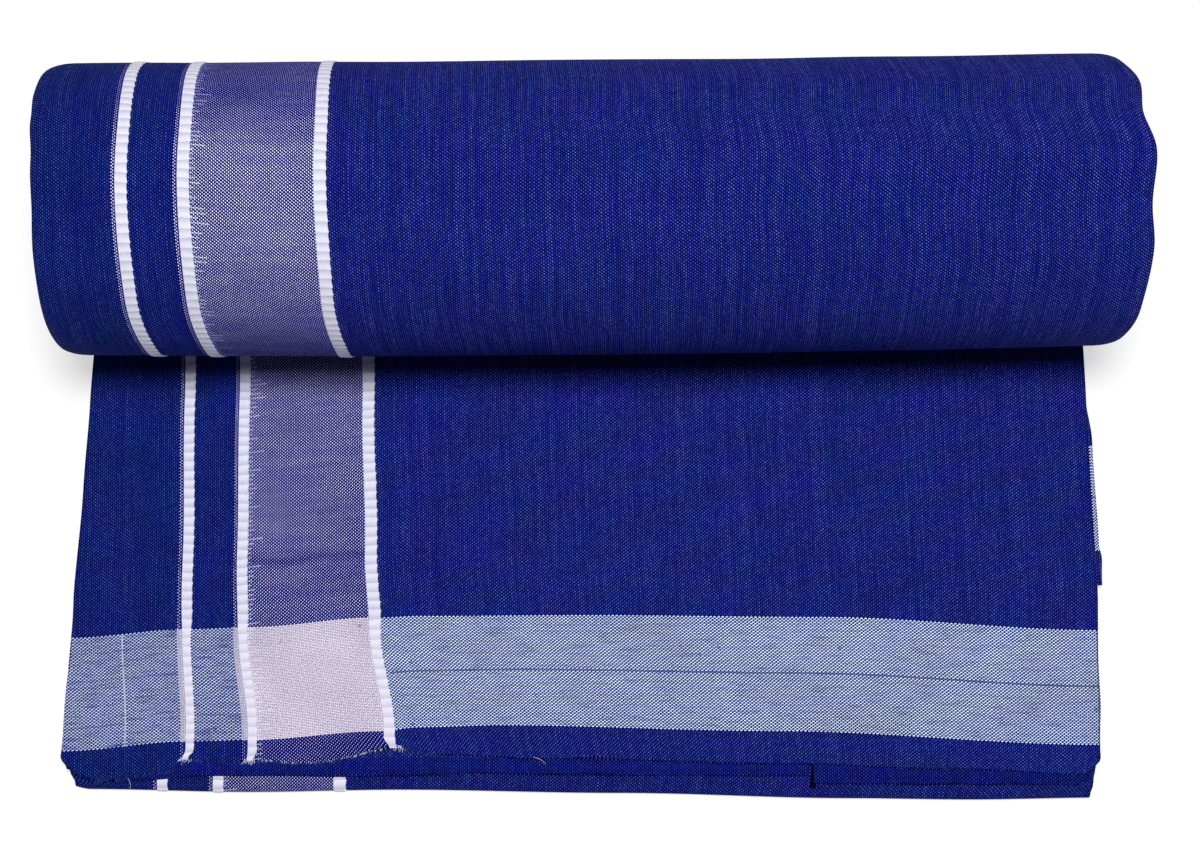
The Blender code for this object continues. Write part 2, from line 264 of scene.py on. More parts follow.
def border_places(sides, border, at):
    """Where the left side, the three cords and the right side lie at a place along the cloth."""
    left, right = sides_at(sides, at)
    return (left, *(read_table(border, at, column) for column in (1, 2, 3)), right)


def soft_noise(x, y, seed, span):
    """Smooth unevenness from about -1 to 1, with waves about `span` long."""
    return noise.noise(Vector((x / span, y / span, seed)))


# The roll's form.


def axis_y(x):
    """The roll lies slightly askew, and bends away at both ends."""
    return ROLL_AXIS_Y + ROLL_YAW * x + ROLL_BEND * (x / BEND_SPAN) ** 2


def end_drop(x, turn):
    """How far the roll's outline rounds in at a point near an end."""
    left, right = sides_at(ROLL_ENDS, turn)
    inset = min(x - left, right - x)
    share = 1 - min(max(inset, 0.0), END_ROUND) / END_ROUND
    return END_DROP * (1 - math.sqrt(max(1 - share * share, 0.0)))


def roll_point(x, turn, depth):
    """A point `depth` inwards from the outer face of the roll's outermost turn."""
    radius = ROLL_RADIUS - TURN_PITCH * turn / 360 - ROLL_TAPER * (x / BEND_SPAN) ** 2 - depth
    radius -= end_drop(x, turn) * radius / ROLL_RADIUS
    angle = math.radians(turn)
    height = ROLL_SQUASH * (ROLL_RADIUS - radius * math.cos(angle)) - ROLL_SAG
    wall_depth = OUTER_WALL + SEAM
    if turn > 180:
        floor = FLAT_HEIGHT + SEAM + depth
    elif depth <= wall_depth:
        floor = depth
    else:
        packed = (FLAT_HEIGHT + SEAM - wall_depth) / (TURN_PITCH - wall_depth)
        floor = wall_depth + (depth - wall_depth) * packed
    return x, axis_y(x) + radius * math.sin(angle), max(height, floor)


def join_y(x):
    """Where the flat stretch ends under the roll and the outermost turn begins."""
    start = ROLL_RADIUS - TURN_PITCH * WRAP_START / 360
    return axis_y(x) + start * math.sin(math.radians(WRAP_START)) - SEAM


def layer_height(y):
    """How much higher the layers above the inner cut end lie, which stops short of the others."""
    return LAYER_RISE * eased((y - INNER_NEAR_Y + 14.0) / 13.0)


# Sheets and stacks.


def layer_edge(depth, layers, wall, looseness, along, seed):
    """How far a stack's edge stands in or out at a depth through it, each layer rounded."""
    thickest = max(high - low for low, high in zip(layers, layers[1:])) * wall / 2
    for low, high in zip(layers, layers[1:]):
        if depth <= high:
            across = (depth - low) / (high - low) * 2 - 1
            bulge = math.sqrt(max(1 - across * across, 0.0)) * (high - low) * wall / 2
            loose = looseness * soft_noise(along, low * 310, seed, 22.0)
            return bulge - thickest + loose
    return 0.0


def stack_edges(wall, share, spread, seed, plain=(), cut_share=1.3, cut_spread=1):
    """How far the edges of a stack's layers slip: selvedges at the left, a fold at the right, and
    raw edges at a cut end. They slip by shares of the looseness, and `plain` sides not at all."""
    loose = woven_size("looseness")

    def push(side, at, depth):
        if side in plain:
            return 0.0
        if side in ("near", "far"):
            return layer_edge(depth, CUT_SIDE, wall, loose * cut_share, at * cut_spread, seed)
        layers = SELVEDGE_SIDE if side == "left" else FOLDED_SIDE
        return layer_edge(depth, layers, wall, loose * share, at * spread, seed + 2)

    return push


def layered_sheet(across, along, place, weave, push, rim_rows, bake=True):
    """A closed sheet over a grid, with the edges of its layers round it.

    `place` gives the point at a place across and along it and a depth from 0 on its outer face to
    1 on its inner one. `weave` gives the woven place in millimetres of thread. `push` gives how
    far its edge stands out at a side, a place along that side and a depth.
    """
    bm = bmesh.new()
    columns, rows = len(across) - 1, len(along) - 1
    bmesh.ops.create_grid(bm, x_segments=columns, y_segments=rows, size=1)
    for vertex in bm.verts:
        vertex.co.x = round((vertex.co.x + 1) / 2 * columns)
        vertex.co.y = round((vertex.co.y + 1) / 2 * rows)
    made = bmesh.ops.extrude_face_region(bm, geom=bm.faces[:], use_keep_orig=True)
    for part in made["geom"]:
        if isinstance(part, bmesh.types.BMVert):
            part.co.z = 1
    between = [edge for edge in bm.edges if abs(edge.verts[0].co.z - edge.verts[1].co.z) > 0.5]
    bmesh.ops.subdivide_edges(bm, edges=between, cuts=rim_rows - 1)

    spots = {}
    for vertex in bm.verts:
        spots[vertex] = Spot(round(vertex.co.x), round(vertex.co.y), vertex.co.z)
    for vertex, spot in spots.items():
        point = Vector(place(across[spot.x], along[spot.y], spot.z))
        sides = []
        if spot.x in (0, columns):
            inner = place(across[1 if spot.x == 0 else columns - 1], along[spot.y], spot.z)
            sides.append(("left" if spot.x == 0 else "right", along[spot.y], inner))
        if spot.y in (0, rows):
            inner = place(across[spot.x], along[1 if spot.y == 0 else rows - 1], spot.z)
            sides.append(("near" if spot.y == 0 else "far", across[spot.x], inner))
        moved = Vector()
        for side, at, inner in sides:
            outwards = (point - Vector(inner)).normalized()
            moved += outwards * push(side, at, spot.z)
        vertex.co = (point + moved) * MM

    cloth_map = bm.loops.layers.uv.new("cloth")
    bake_map = bm.loops.layers.uv.new("OFBake") if bake else None
    for face in bm.faces:
        corners = [spots[loop.vert] for loop in face.loops]
        middle = sum(spot.z for spot in corners) / len(corners)
        under = middle > 0.3
        for loop, spot in zip(face.loops, corners):
            u, v = weave(across[spot.x], along[spot.y], spot.z)
            loop[cloth_map].uv = (u + HIDDEN_LAYER_SHIFT if under else u, v)
            if bake:
                loop[bake_map].uv = baked_place(corners, spot, columns, rows)
    return bm


def baked_place(corners, spot, columns, rows):
    """A place on the flat layout of a sheet: its outer face fills it, above thin strips for the
    inner face and the four edges."""
    c, r = spot.x / columns, spot.y / rows
    if all(corner.z < 0.001 for corner in corners):
        return c, 0.14 + 0.86 * r
    if all(corner.z > 0.999 for corner in corners):
        return c, 0.03 * r
    for strip, at in enumerate((0, rows)):
        if all(corner.y == at for corner in corners):
            return c, 0.04 + 0.025 * strip + 0.015 * spot.z
    strip = 0 if all(corner.x == 0 for corner in corners) else 1
    return r, 0.09 + 0.025 * strip + 0.015 * spot.z


def add_piece(name, bm, material, *nodes, slot="blue_cloth"):
    """Hands a finished piece to the frame. It stands for the given nodes."""
    mesh = bpy.data.meshes.new(name)
    bmesh.ops.recalc_face_normals(bm, faces=bm.faces)
    if bm.calc_volume(signed=True) < 0:
        bmesh.ops.reverse_faces(bm, faces=bm.faces)
    bm.to_mesh(mesh)
    bm.free()
    mesh.shade_smooth()
    mesh.materials.append(material)
    piece = bpy.data.objects.new(name, mesh)
    bpy.context.scene.collection.objects.link(piece)
    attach(piece, "root")
    if nodes:
        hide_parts(*nodes)
    return piece


# Materials.


class Wiring:
    """Adds nodes to one tree and links them."""

    def __init__(self, tree):
        self.tree = tree

    def node(self, kind, *fed, **settings):
        made = self.tree.nodes.new(kind)
        for key, value in settings.items():
            setattr(made, key, value)
        for socket, value in zip(made.inputs, fed):
            self.feed(socket, value)
        return made

    def feed(self, socket, value):
        if isinstance(value, bpy.types.NodeSocket):
            self.tree.links.new(value, socket)
        elif value is not None:
            socket.default_value = (*value, 1.0) if socket.type == "RGBA" else value

    def maths(self, operation, *values, clamp=False):
        made = self.node("ShaderNodeMath", *values, operation=operation, use_clamp=clamp)
        return made.outputs[0]

    add = partialmethod(maths, "ADD")
    minus = partialmethod(maths, "SUBTRACT")
    times = partialmethod(maths, "MULTIPLY")
    times_add = partialmethod(maths, "MULTIPLY_ADD")
    divide = partialmethod(maths, "DIVIDE")
    most = partialmethod(maths, "MAXIMUM")
    above = partialmethod(maths, "GREATER_THAN")
    below = partialmethod(maths, "LESS_THAN")

    def within(self, value, low, high):
        return self.times(self.above(value, low), self.below(value, high))

    def choose(self, share, low, high):
        made = self.node("ShaderNodeMix", share, data_type="FLOAT")
        self.feed(made.inputs[2], low)
        self.feed(made.inputs[3], high)
        return made.outputs[0]

    def tint(self, share, low, high, blend="MIX"):
        made = self.node("ShaderNodeMix", share, data_type="RGBA", blend_type=blend)
        self.feed(made.inputs[6], low)
        self.feed(made.inputs[7], high)
        return made.outputs[2]

    def stretch(self, value, low, high, to_low=0.0, to_high=1.0, smooth=False):
        made = self.node("ShaderNodeMapRange", value, low, high, to_low, to_high)
        made.interpolation_type = "SMOOTHSTEP" if smooth else "LINEAR"
        return made.outputs[0]

    def vector(self, x, y, z=0.0):
        return self.node("ShaderNodeCombineXYZ", x, y, z).outputs[0]

    def noise(self, vector, detail=1.0):
        made = self.node("ShaderNodeTexNoise", vector)
        made.inputs["Scale"].default_value = 1.0
        made.inputs["Detail"].default_value = detail
        return made.outputs[0]

    def grey(self, value):
        """A plain grey from a value, to multiply a colour by."""
        made = self.node("ShaderNodeCombineColor", value, value, value)
        return made.outputs[0]

    def raise_by(self, shader, height, strength):
        """Gives a shader the relief of a height from 0 to 1."""
        bump = self.node("ShaderNodeBump")
        bump.inputs["Strength"].default_value = strength
        bump.inputs["Distance"].default_value = THREAD_RELIEF
        self.feed(bump.inputs["Height"], height)
        self.feed(shader.inputs["Normal"], bump.outputs[0])


class WovenWiring(Wiring):
    """Adds nodes that read the woven place: U across the cloth and V along it."""

    def __init__(self, tree):
        super().__init__(tree)
        place = self.node("ShaderNodeUVMap", uv_map="cloth").outputs[0]
        self.u, self.v = self.node("ShaderNodeSeparateXYZ", place).outputs[:2]

    def patches(self, across, along, seed, detail):
        """Noise over the cloth, scaled across and along it."""
        place = self.vector(self.times(self.u, across), self.times(self.v, along), seed)
        return self.noise(place, detail)


def plain_weave_group():
    """Plain weave from counts of warps and wefts: how far the warp stands over the weft, from 1
    down to -1 where the weft is on top, the height of the upper thread, and tones of threads."""
    name = "plain_weave"
    if name in bpy.data.node_groups:
        return bpy.data.node_groups[name]
    group = bpy.data.node_groups.new(name, "ShaderNodeTree")
    for socket in ("Warps", "Wefts"):
        group.interface.new_socket(socket, in_out="INPUT", socket_type="NodeSocketFloat")
    for socket in ("Warp over", "Height", "Warp tone", "Weft tone", "Crossing tone"):
        group.interface.new_socket(socket, in_out="OUTPUT", socket_type="NodeSocketFloat")
    w = Wiring(group)
    given = group.nodes.new("NodeGroupInput").outputs
    out = group.nodes.new("NodeGroupOutput").inputs
    counts, asides = [], []
    for socket in ("Warps", "Wefts"):
        count = w.maths("FLOOR", given[socket])
        counts.append(count)
        asides.append(w.minus(w.minus(given[socket], count), 0.5))
    parity = w.maths("FLOORED_MODULO", w.add(*counts), 2.0)
    sign = w.minus(1.0, w.times(parity, 2.0))
    heights = []
    for aside, along, half in ((*asides, 0.5), (*reversed(asides), -0.5)):
        # The twist of the yarn sets each float a little askew.
        slanted = w.times_add(along, -TWIST, aside)
        across = w.maths("COSINE", w.times(slanted, math.pi))
        lift = w.maths("COSINE", w.times(along, math.pi))
        lift = w.times_add(w.times(sign, lift), half, 0.5)
        heights.append(w.times(across, lift))
    w.feed(out["Warp over"], w.minus(*heights))
    w.feed(out["Height"], w.most(*heights))
    for place, (thread, along) in enumerate(((0, "Wefts"), (1, "Warps"))):
        own = w.node("ShaderNodeTexWhiteNoise", noise_dimensions="1D")
        w.feed(own.inputs["W"], counts[thread])
        run = w.vector(
            w.times(own.outputs["Value"], 90.0),
            w.times(given[along], 0.035),
            5.0 * place,
        )
        drift = w.stretch(w.noise(run, 2.0), 0.3, 0.7)
        tone = w.times_add(own.outputs["Value"], 0.45, w.times(drift, 0.55))
        w.feed(out["Warp tone" if thread == 0 else "Weft tone"], tone)
    crossing = w.node("ShaderNodeTexWhiteNoise", noise_dimensions="2D")
    w.feed(crossing.inputs["Vector"], w.vector(*counts))
    w.feed(out["Crossing tone"], crossing.outputs["Value"])
    return group


def new_material(name, roughness, specular):
    material = bpy.data.materials.new(name)
    material.use_nodes = True
    shader = material.node_tree.nodes["Principled BSDF"]
    shader.inputs["Roughness"].default_value = roughness
    shader.inputs["Specular IOR Level"].default_value = specular
    return material, shader


class BorderedWeave(WovenWiring):
    """The bordered cotton at a woven place: blue on blue, with white dots beside the cords, a
    stripe of white warps between the second and third cords, and a band of white wefts."""

    def __init__(self, tree):
        super().__init__(tree)
        self.sizes = bpy.context.scene.dhoti_weave
        self.dyes = bpy.context.scene.dhoti_colours
        warps, wefts = self.lay_stripes()
        weave = self.node("ShaderNodeGroup", node_tree=plain_weave_group())
        self.feed(weave.inputs["Warps"], warps)
        self.feed(weave.inputs["Wefts"], wefts)
        self.over, self.height, self.warp_tone, self.weft_tone, self.crossing = weave.outputs
        self.mark_shade_and_dimming()

    def lay_stripes(self):
        """Marks the stripe that a thread lies in. Gives the counts of warps and wefts there."""
        dot_pitch = self.sizes.dot_pitch / MM
        dots_start = -CORD_WIDTHS[0] / 2 - DOT_COLUMNS * dot_pitch
        by_first = self.within(self.u, dots_start, 0.0)
        by_second = self.within(self.u, dots_start + CORDS[1], CORDS[1])
        self.by_cord = self.add(by_first, by_second)
        dots_place = self.minus(self.u, self.times(by_second, CORDS[1]))
        dots_count = self.divide(self.minus(dots_place, dots_start), dot_pitch)
        self.in_stripe = self.within(self.u, CORDS[1], CORDS[2])
        self.from_cord = self.minus(self.u, CORDS[1] + CORD_WIDTHS[1] / 2)
        self.margin = self.below(self.u, MARGIN_END)
        self.in_band = self.within(self.v, 0.0, self.sizes.band_width / MM)
        white_dots = self.times(self.by_cord, self.below(dots_count, 2.0))
        self.white_warp = self.most(self.in_stripe, white_dots)
        self.both_white = self.times(self.most(self.in_stripe, self.by_cord), self.in_band)
        self.strip = self.times(self.by_cord, self.in_band)

        field_count = self.divide(self.u, self.sizes.warp_pitch / MM)
        stripe_count = self.divide(self.from_cord, self.sizes.stripe_pitch / MM)
        warps = self.choose(self.by_cord, field_count, dots_count)
        warps = self.choose(self.in_stripe, warps, stripe_count)
        return warps, self.divide(self.v, self.sizes.weft_pitch / MM)

    def mark_shade_and_dimming(self):
        """Marks where white warps show less: down both sides of the roll as painted shade, near
        the cut, and low in the stripe, where they sink in deeper and a row of them is all but
        covered."""
        self.on_roll = self.above(self.v, ROLL_FROM)
        # Painted shade: white warps show less down the roll's far and near sides.
        sides = (self.stretch(self.v, *ROLL_NEAR_SIDE), self.stretch(self.v, *ROLL_FAR_SIDE))
        self.roll_side_shade = self.times(self.most(*sides), self.on_roll)
        self.near_cut = self.within(self.v, *CUT_END)
        wander = self.noise(self.vector(self.times(self.u, 0.08), 5.0, 1.0), 1.0)
        row = self.maths("ABSOLUTE", self.times_add(wander, 4.0, self.minus(self.v, SUNK_ROW)))
        low = self.times(self.stretch(self.v, *LOW_STRIPE), self.above(self.v, IN_BAND))
        dimming_and_shade = self.times_add(self.roll_side_shade, 0.2, self.choose(self.on_roll, 0.48, 0.41))
        dimming_and_shade = self.times_add(self.near_cut, 0.16, dimming_and_shade)
        dimming_and_shade = self.times_add(low, 0.05, dimming_and_shade)
        self.dimming_and_shade = self.add(dimming_and_shade, self.stretch(row, 2.4, 0.2, 0.0, 0.15))

    def blue_warps(self):
        """Blue warps are specked, and some run lighter for a stretch, most of all on the roll.
        Those of the margin and of the second stack's cut end are duller."""
        stripy = self.choose(self.on_roll, 0.35, 0.45)
        light = self.choose(stripy, 0.5, self.warp_tone)
        light = self.times(self.maths("POWER", light, 2.0), 0.78)
        light = self.times(light, self.times_add(self.crossing, 1.1, 0.45))
        second_cut = self.times(self.within(self.v, *SECOND_CUT_END), self.above(self.u, 70.0))
        dull = (self.choose(self.margin, 1.0, 0.6), self.choose(second_cut, 1.0, 0.45))
        light = self.maths("MULTIPLY", light, self.times(*dull), clamp=True)
        warp = self.tint(light, self.dyes.blue, self.dyes.light_blue)
        for share, dye in (
            (self.below(self.u, 0.0), MARGIN_DYE),
            (self.within(self.u, 0.0, CORDS[1]), BETWEEN_CORDS_DYE),
        ):
            warp = self.tint(share, warp, self.tint(1.0, warp, dye, "MULTIPLY"))
        return warp

    def white_warps(self):
        """White warps run brighter and duller in streaks across the stripe."""
        streaks = self.stretch(self.patches(0.05, 0.3, 2.0, 2.0), 0.36, 0.64)
        pale = self.times_add(self.crossing, 0.3, self.times(self.warp_tone, 0.3))
        pale = self.times_add(streaks, 0.5, pale)
        pale = self.add(pale, self.choose(self.on_roll, 0.0, 0.3))
        # Painted shade darkens the white warps down both sides of the roll.
        pale = self.maths("MULTIPLY_ADD", self.roll_side_shade, -0.75, pale, clamp=True)
        white = self.tint(pale, self.dyes.lilac, self.dyes.white)
        return self.tint(self.times(self.near_cut, 0.2), white, self.dyes.ink)

    def rib_loops(self):
        """Threads of the second cord's ribs reach in among the white warps, some of them far."""
        rib_place = self.times_add(self.from_cord, -0.12, self.v)
        ribs = self.divide(rib_place, self.sizes.rib_pitch / MM / 2)
        draw = self.node("ShaderNodeTexWhiteNoise", noise_dimensions="1D")
        self.feed(draw.inputs["W"], self.maths("FLOOR", ribs))
        reach = self.times_add(self.maths("POWER", draw.outputs["Value"], 3.0), 4.5, 0.7)
        loops = self.below(self.maths("FRACT", ribs), 0.22)
        loops = self.times(loops, self.below(self.from_cord, reach))
        return self.times(loops, self.times(self.in_stripe, 0.5))

    def warp_threads(self):
        """The colour of the warps, and how far they show."""
        whites = self.stretch(self.minus(self.over, self.dimming_and_shade), 0.0, 0.2)
        shows = self.choose(self.white_warp, self.stretch(self.over, 0.32, 0.66), whites)
        colour = self.tint(self.white_warp, self.blue_warps(), self.white_warps())
        colour = self.tint(self.in_band, colour, self.dyes.band_ground)
        shows = self.most(shows, self.rib_loops())
        # One warp of the margin is white through the band.
        white_line = self.within(self.u, *MARGIN_LINE)
        white_line = self.times(white_line, self.times(self.in_band, 0.6))
        colour = self.tint(white_line, colour, self.dyes.band_white)
        shows = self.most(shows, self.times(white_line, self.stretch(self.over, -0.2, 0.6)))
        colour = self.tint(self.both_white, colour, self.dyes.crossing_light)
        return self.tint(self.strip, colour, self.dyes.cord_white), shows

    def weft_threads(self):
        """The colour of the wefts, and how far they show. The band is wispy: duller patches run
        along its picks, most of all in the margin."""
        shows = (self.stretch(self.over, 0.0, -0.5), self.stretch(self.over, -0.1, -0.36))
        shows = self.choose(self.in_band, *shows)
        blue_share = self.times(self.times(self.weft_tone, self.weft_tone), 0.2)
        dark = self.tint(blue_share, self.dyes.navy, self.dyes.blue)
        dark = self.tint(self.white_warp, dark, self.dyes.ink)
        pale = self.times_add(self.crossing, 0.5, self.times(self.weft_tone, 0.5))
        pale = self.tint(pale, self.dyes.band_grey, self.dyes.band_white)
        pale = self.tint(self.times(self.margin, 0.2), pale, self.dyes.margin_violet)
        wisps = self.patches(0.12, 0.9, 9.0, 3.0)
        wisps = self.stretch(wisps, 0.5, 0.75, 0.0, self.choose(self.margin, 0.45, 0.8))
        pale = self.tint(wisps, pale, self.dyes.band_ground)
        # One pick of the band is dark beyond the border.
        dark_pick = self.times(self.within(self.v, *DARK_PICK), self.above(self.u, 60.0))
        pale = self.tint(self.times(dark_pick, 0.7), pale, self.dyes.navy)
        colour = self.tint(self.in_band, dark, pale)
        colour = self.tint(self.both_white, colour, self.dyes.crossing)
        return self.tint(self.strip, colour, self.dyes.cord_shade), shows

    def gaps(self):
        """The colour between the threads. The blue shines up round the white warps."""
        gap = self.tint(self.white_warp, self.dyes.gap, self.dyes.ink)
        edge = self.stretch(self.minus(self.over, self.dimming_and_shade), -0.3, -0.1)
        gap = self.tint(self.times(self.white_warp, edge), gap, self.dyes.dot_edge)
        gap = self.tint(self.in_band, gap, self.dyes.band_ground)
        # Painted shade in the pinholes between the white threads where both bands cross.
        return self.tint(self.both_white, gap, self.dyes.crossing_gap_shade)

    def unevenness(self):
        """Lighter and darker clouds, grain, painted shade on the lower stacks, a painted shadow in
        the slit, and slubs.
        """
        shade = self.stretch(self.patches(0.05, 0.05, 0.0, 3.0), 0.3, 0.7, 0.92, 1.08)
        grain = self.patches(1.7, 1.7, 6.0, 1.0)
        shade = self.times(shade, self.stretch(grain, 0.3, 0.7, 0.78, 1.22))
        # Painted shadow: the lowest stack goes near black in the slit between the two pieces
        # above.
        slit_shadow = self.times(self.within(self.u, *SLIT_ACROSS), self.within(self.v, *SLIT_ALONG))
        shade = self.times(shade, self.choose(slit_shadow, 1.0, 0.06))
        # Painted shade: the lower stacks are a little darker where they show at the near end.
        shade = self.times(shade, self.choose(self.below(self.v, LOWER_STACKS), 1.0, 0.86))
        slubs = self.stretch(self.patches(0.5, 0.4, 4.0, 0.0), 0.8, 0.86, 0.0, 0.5)
        return self.times(shade, self.minus(1.0, self.times(slubs, self.in_band)))

    def colour(self):
        warp, warp_shows = self.warp_threads()
        weft, weft_shows = self.weft_threads()
        colour = self.tint(weft_shows, self.gaps(), weft)
        colour = self.tint(warp_shows, colour, warp)
        hue = self.stretch(self.patches(0.06, 0.06, 3.0, 2.0), 0.35, 0.65)
        hue = self.tint(hue, REDDER, GREENER)
        field = self.minus(1.0, self.most(self.in_band, self.white_warp))
        colour = self.tint(field, colour, self.tint(1.0, colour, hue, "MULTIPLY"))
        return self.tint(1.0, colour, self.grey(self.unevenness()), "MULTIPLY")


def bordered_cotton():
    """The cloth itself, with its border and its band."""
    name = "bordered_cotton"
    if name in bpy.data.materials:
        return bpy.data.materials[name]
    material, shader = new_material(name, 0.9, 0.03)
    w = BorderedWeave(material.node_tree)
    w.feed(shader.inputs["Base Color"], w.colour())
    w.feed(shader.inputs["Roughness"], w.stretch(w.height, 0.0, 1.0, 0.98, 0.82))
    w.raise_by(shader, w.height, 0.3)
    return material


def cord_cotton():
    """The woven cords: thick white threads in short overlapping ribs."""
    name = "cord_cotton"
    if name in bpy.data.materials:
        return bpy.data.materials[name]
    colours = bpy.context.scene.dhoti_colours
    material, shader = new_material(name, 0.75, 0.15)
    w = WovenWiring(material.node_tree)
    rib = w.maths("FRACT", w.v)
    # Painted shade: each rib is white below its top and greys towards its foot, darker in the
    # groove at its start.
    shade = w.stretch(rib, 0.25, 1.0, 1.0, 0.0, smooth=True)
    shade = w.times(shade, w.stretch(rib, 0.0, 0.08, 0.7, 1.0))
    body = w.tint(shade, colours.cord_shade, colours.cord_white)
    place = w.node("ShaderNodeTexCoord").outputs["Object"]
    along = w.node("ShaderNodeSeparateXYZ", place).outputs[1]
    pink = w.times(w.within(along, *CORD_PINK_Y), 0.2)
    body = w.tint(pink, body, colours.crossing_light)
    strands = w.patches(6.0, 0.8, 0.0, 2.0)
    colour = w.tint(1.0, body, w.grey(w.stretch(strands, 0.3, 0.7, 0.9, 1.05)), "MULTIPLY")
    w.feed(shader.inputs["Base Color"], colour)
    w.raise_by(shader, strands, 0.4)
    return material


def thread_cotton(name, colour, shade):
    """Loose thread ends, a little uneven in tone."""
    if name in bpy.data.materials:
        return bpy.data.materials[name]
    material, shader = new_material(name, 0.8, 0.1)
    w = Wiring(material.node_tree)
    place = w.node("ShaderNodeTexCoord").outputs["Object"]
    spots = w.node("ShaderNodeTexNoise", place)
    spots.inputs["Scale"].default_value = 900.0
    w.feed(shader.inputs["Base Color"], w.tint(spots.outputs[0], shade, colour))
    return material


# Properties.


def length(name, description, default):
    return bpy.props.FloatProperty(
        name=name, description=description, default=default, min=0.0, unit="LENGTH", precision=5
    )


def colour(name, description, default):
    return bpy.props.FloatVectorProperty(
        name=name, description=description, default=default, size=3, subtype="COLOR", max=1.0
    )


class DhotiWeave(bpy.types.PropertyGroup):
    """Sizes of the weave and of the border's ribs."""

    warp_pitch: length("Warp pitch", "From one warp of the field to the next", 0.00064)
    weft_pitch: length("Weft pitch", "From one weft to the next", 0.0005)
    stripe_pitch: length("Stripe pitch", "From one white warp to the next", 0.00055)
    dot_pitch: length("Dot pitch", "From one warp of the dots by a cord to the next", 0.0005)
    band_width: length("Band width", "Width of the band of white wefts", 0.036)
    rib_pitch: length("Rib pitch", "From one rib of a cord to the next", 0.00295)
    cord_raise: length("Cord height", "How far a cord stands up from the cloth", 0.00034)
    looseness: length("Looseness", "How far the layers' edges slip past each other", 0.00045)
    unevenness: length("Unevenness", "How far the laid cloth rises and dips", 0.00022)


class DhotiColours(bpy.types.PropertyGroup):
    """Colours of the threads."""

    blue: colour("Blue", "Warps of the field", (0.005, 0.014, 0.33))
    light_blue: colour("Light blue", "Lightest warps of the field", (0.24, 0.33, 1.0))
    navy: colour("Navy", "Wefts of the field", (0.0008, 0.0022, 0.088))
    gap: colour("Gap", "Between the threads of the field", (0.0005, 0.0012, 0.072))
    ink: colour("Ink", "Wefts across the white warps", (0.001, 0.001, 0.07))
    lilac: colour("Lilac", "Duller white warps", (0.46, 0.46, 0.98))
    white: colour("White", "Brightest white warps", (0.95, 0.95, 1.0))
    band_grey: colour("Band grey", "Duller wefts of the band", (0.68, 0.83, 1.0))
    band_white: colour("Band white", "Brightest wefts of the band", (0.87, 1.0, 1.0))
    band_ground: colour("Band ground", "Warps under the band's wefts", (0.003, 0.01, 0.19))
    dot_edge: colour("Dot edge", "Round the dots of the white warps", (0.016, 0.015, 0.56))
    margin_violet: colour("Margin violet", "Tinges the band's margin", (0.1, 0.02, 0.3))
    crossing: colour("Crossing", "Wefts where both bands cross", (0.9, 0.82, 0.97))
    crossing_light: colour("Light crossing", "Warps where both bands cross", (0.94, 0.85, 0.99))
    # Painted shade in the pinholes between the white threads where both bands cross.
    crossing_gap_shade: colour("Crossing gap", "Between threads there", (0.2, 0.17, 0.3))
    thread_blue: colour("Thread blue", "Loose ends of blue threads", (0.05, 0.11, 0.45))
    cord_white: colour("Cord white", "Cords, at the top of a rib", (0.8, 0.8, 0.95))
    # Cord shade is painted shade at the foot of each rib; the white threads and the strips beside
    # the cords take it as their greyer tone.
    cord_shade: colour("Cord shade", "Cords, at the foot of a rib", (0.58, 0.58, 0.7))
    floor: colour("Floor", "The floor under the cloth", (0.42, 0.42, 0.42))


# The stacks of the flat stretch.


def border_marks(left, right):
    return (left, *CORDS, right)


def inwards(values, edges):
    """Adds columns or rows close to the edges, so that the faces turn over softly there."""
    low, high = values[0], values[-1]
    near = [low + edge for edge in edges] + [high - edge for edge in edges]
    return sorted({*values, *near})


TOP_MARKS = border_marks(-36.0, 284.5)
# Rises and dips laid on the top cloth: x and y of both ends, half width, height.
TOP_CREASES = (
    (-159.0, -52.0, 30.0, -49.0, 9.0, 0.22),
    (-110.0, -44.0, -60.0, -40.0, 4.0, -0.18),
    (60.0, -20.0, 157.0, -34.0, 8.0, -0.2),
    (-150.0, -10.0, -20.0, 2.0, 10.0, 0.16),
    (100.0, -88.0, 156.0, -80.0, 7.0, 0.16),
    (-60.0, -99.0, -20.0, -72.0, 5.0, -0.14),
)


def creases(x, y, table):
    """The height of soft ridges and troughs at a place."""
    height = 0.0
    for x0, y0, x1, y1, half, rise in table:
        run = Vector((x1 - x0, y1 - y0))
        from_start = Vector((x - x0, y - y0))
        share = from_start.dot(run) / run.length_squared
        aside = (from_start - run * share).length / half
        ends = eased(share / 0.3) * eased((1 - share) / 0.3)
        height += rise * math.exp(-aside * aside) * ends
    return height


def top_lines(x):
    """The near cut, both edges of the band, and the start of the roll."""
    lines = [read_table(rows, x) for rows in (TOP_NEAR, BAND_NEAR_LINE, BAND_FAR_LINE)]
    return (*lines, join_y(x))


def top_flat(woven, step):
    """X and Y of a place on the top cloth, and its place along the warps. Steps go from 0 at the
    cut, over 1 and 2 at the band's edges, to 3 where the roll begins."""
    nominal = laid(step, (0, 1, 2, 3), (TOP_NEAR_Y, -93.0, -57.5, JOIN_Y))
    x = laid(woven, TOP_MARKS, border_places(TOP_SIDES, TOP_BORDER, nominal))
    lines = top_lines(x)
    y = laid(step, (0, 1, 2, 3), lines)
    band = woven_size("band_width")
    if step <= 1:
        return x, y, y - lines[1]
    if step <= 2:
        return x, y, band * (step - 1)
    return x, y, band + y - lines[2]


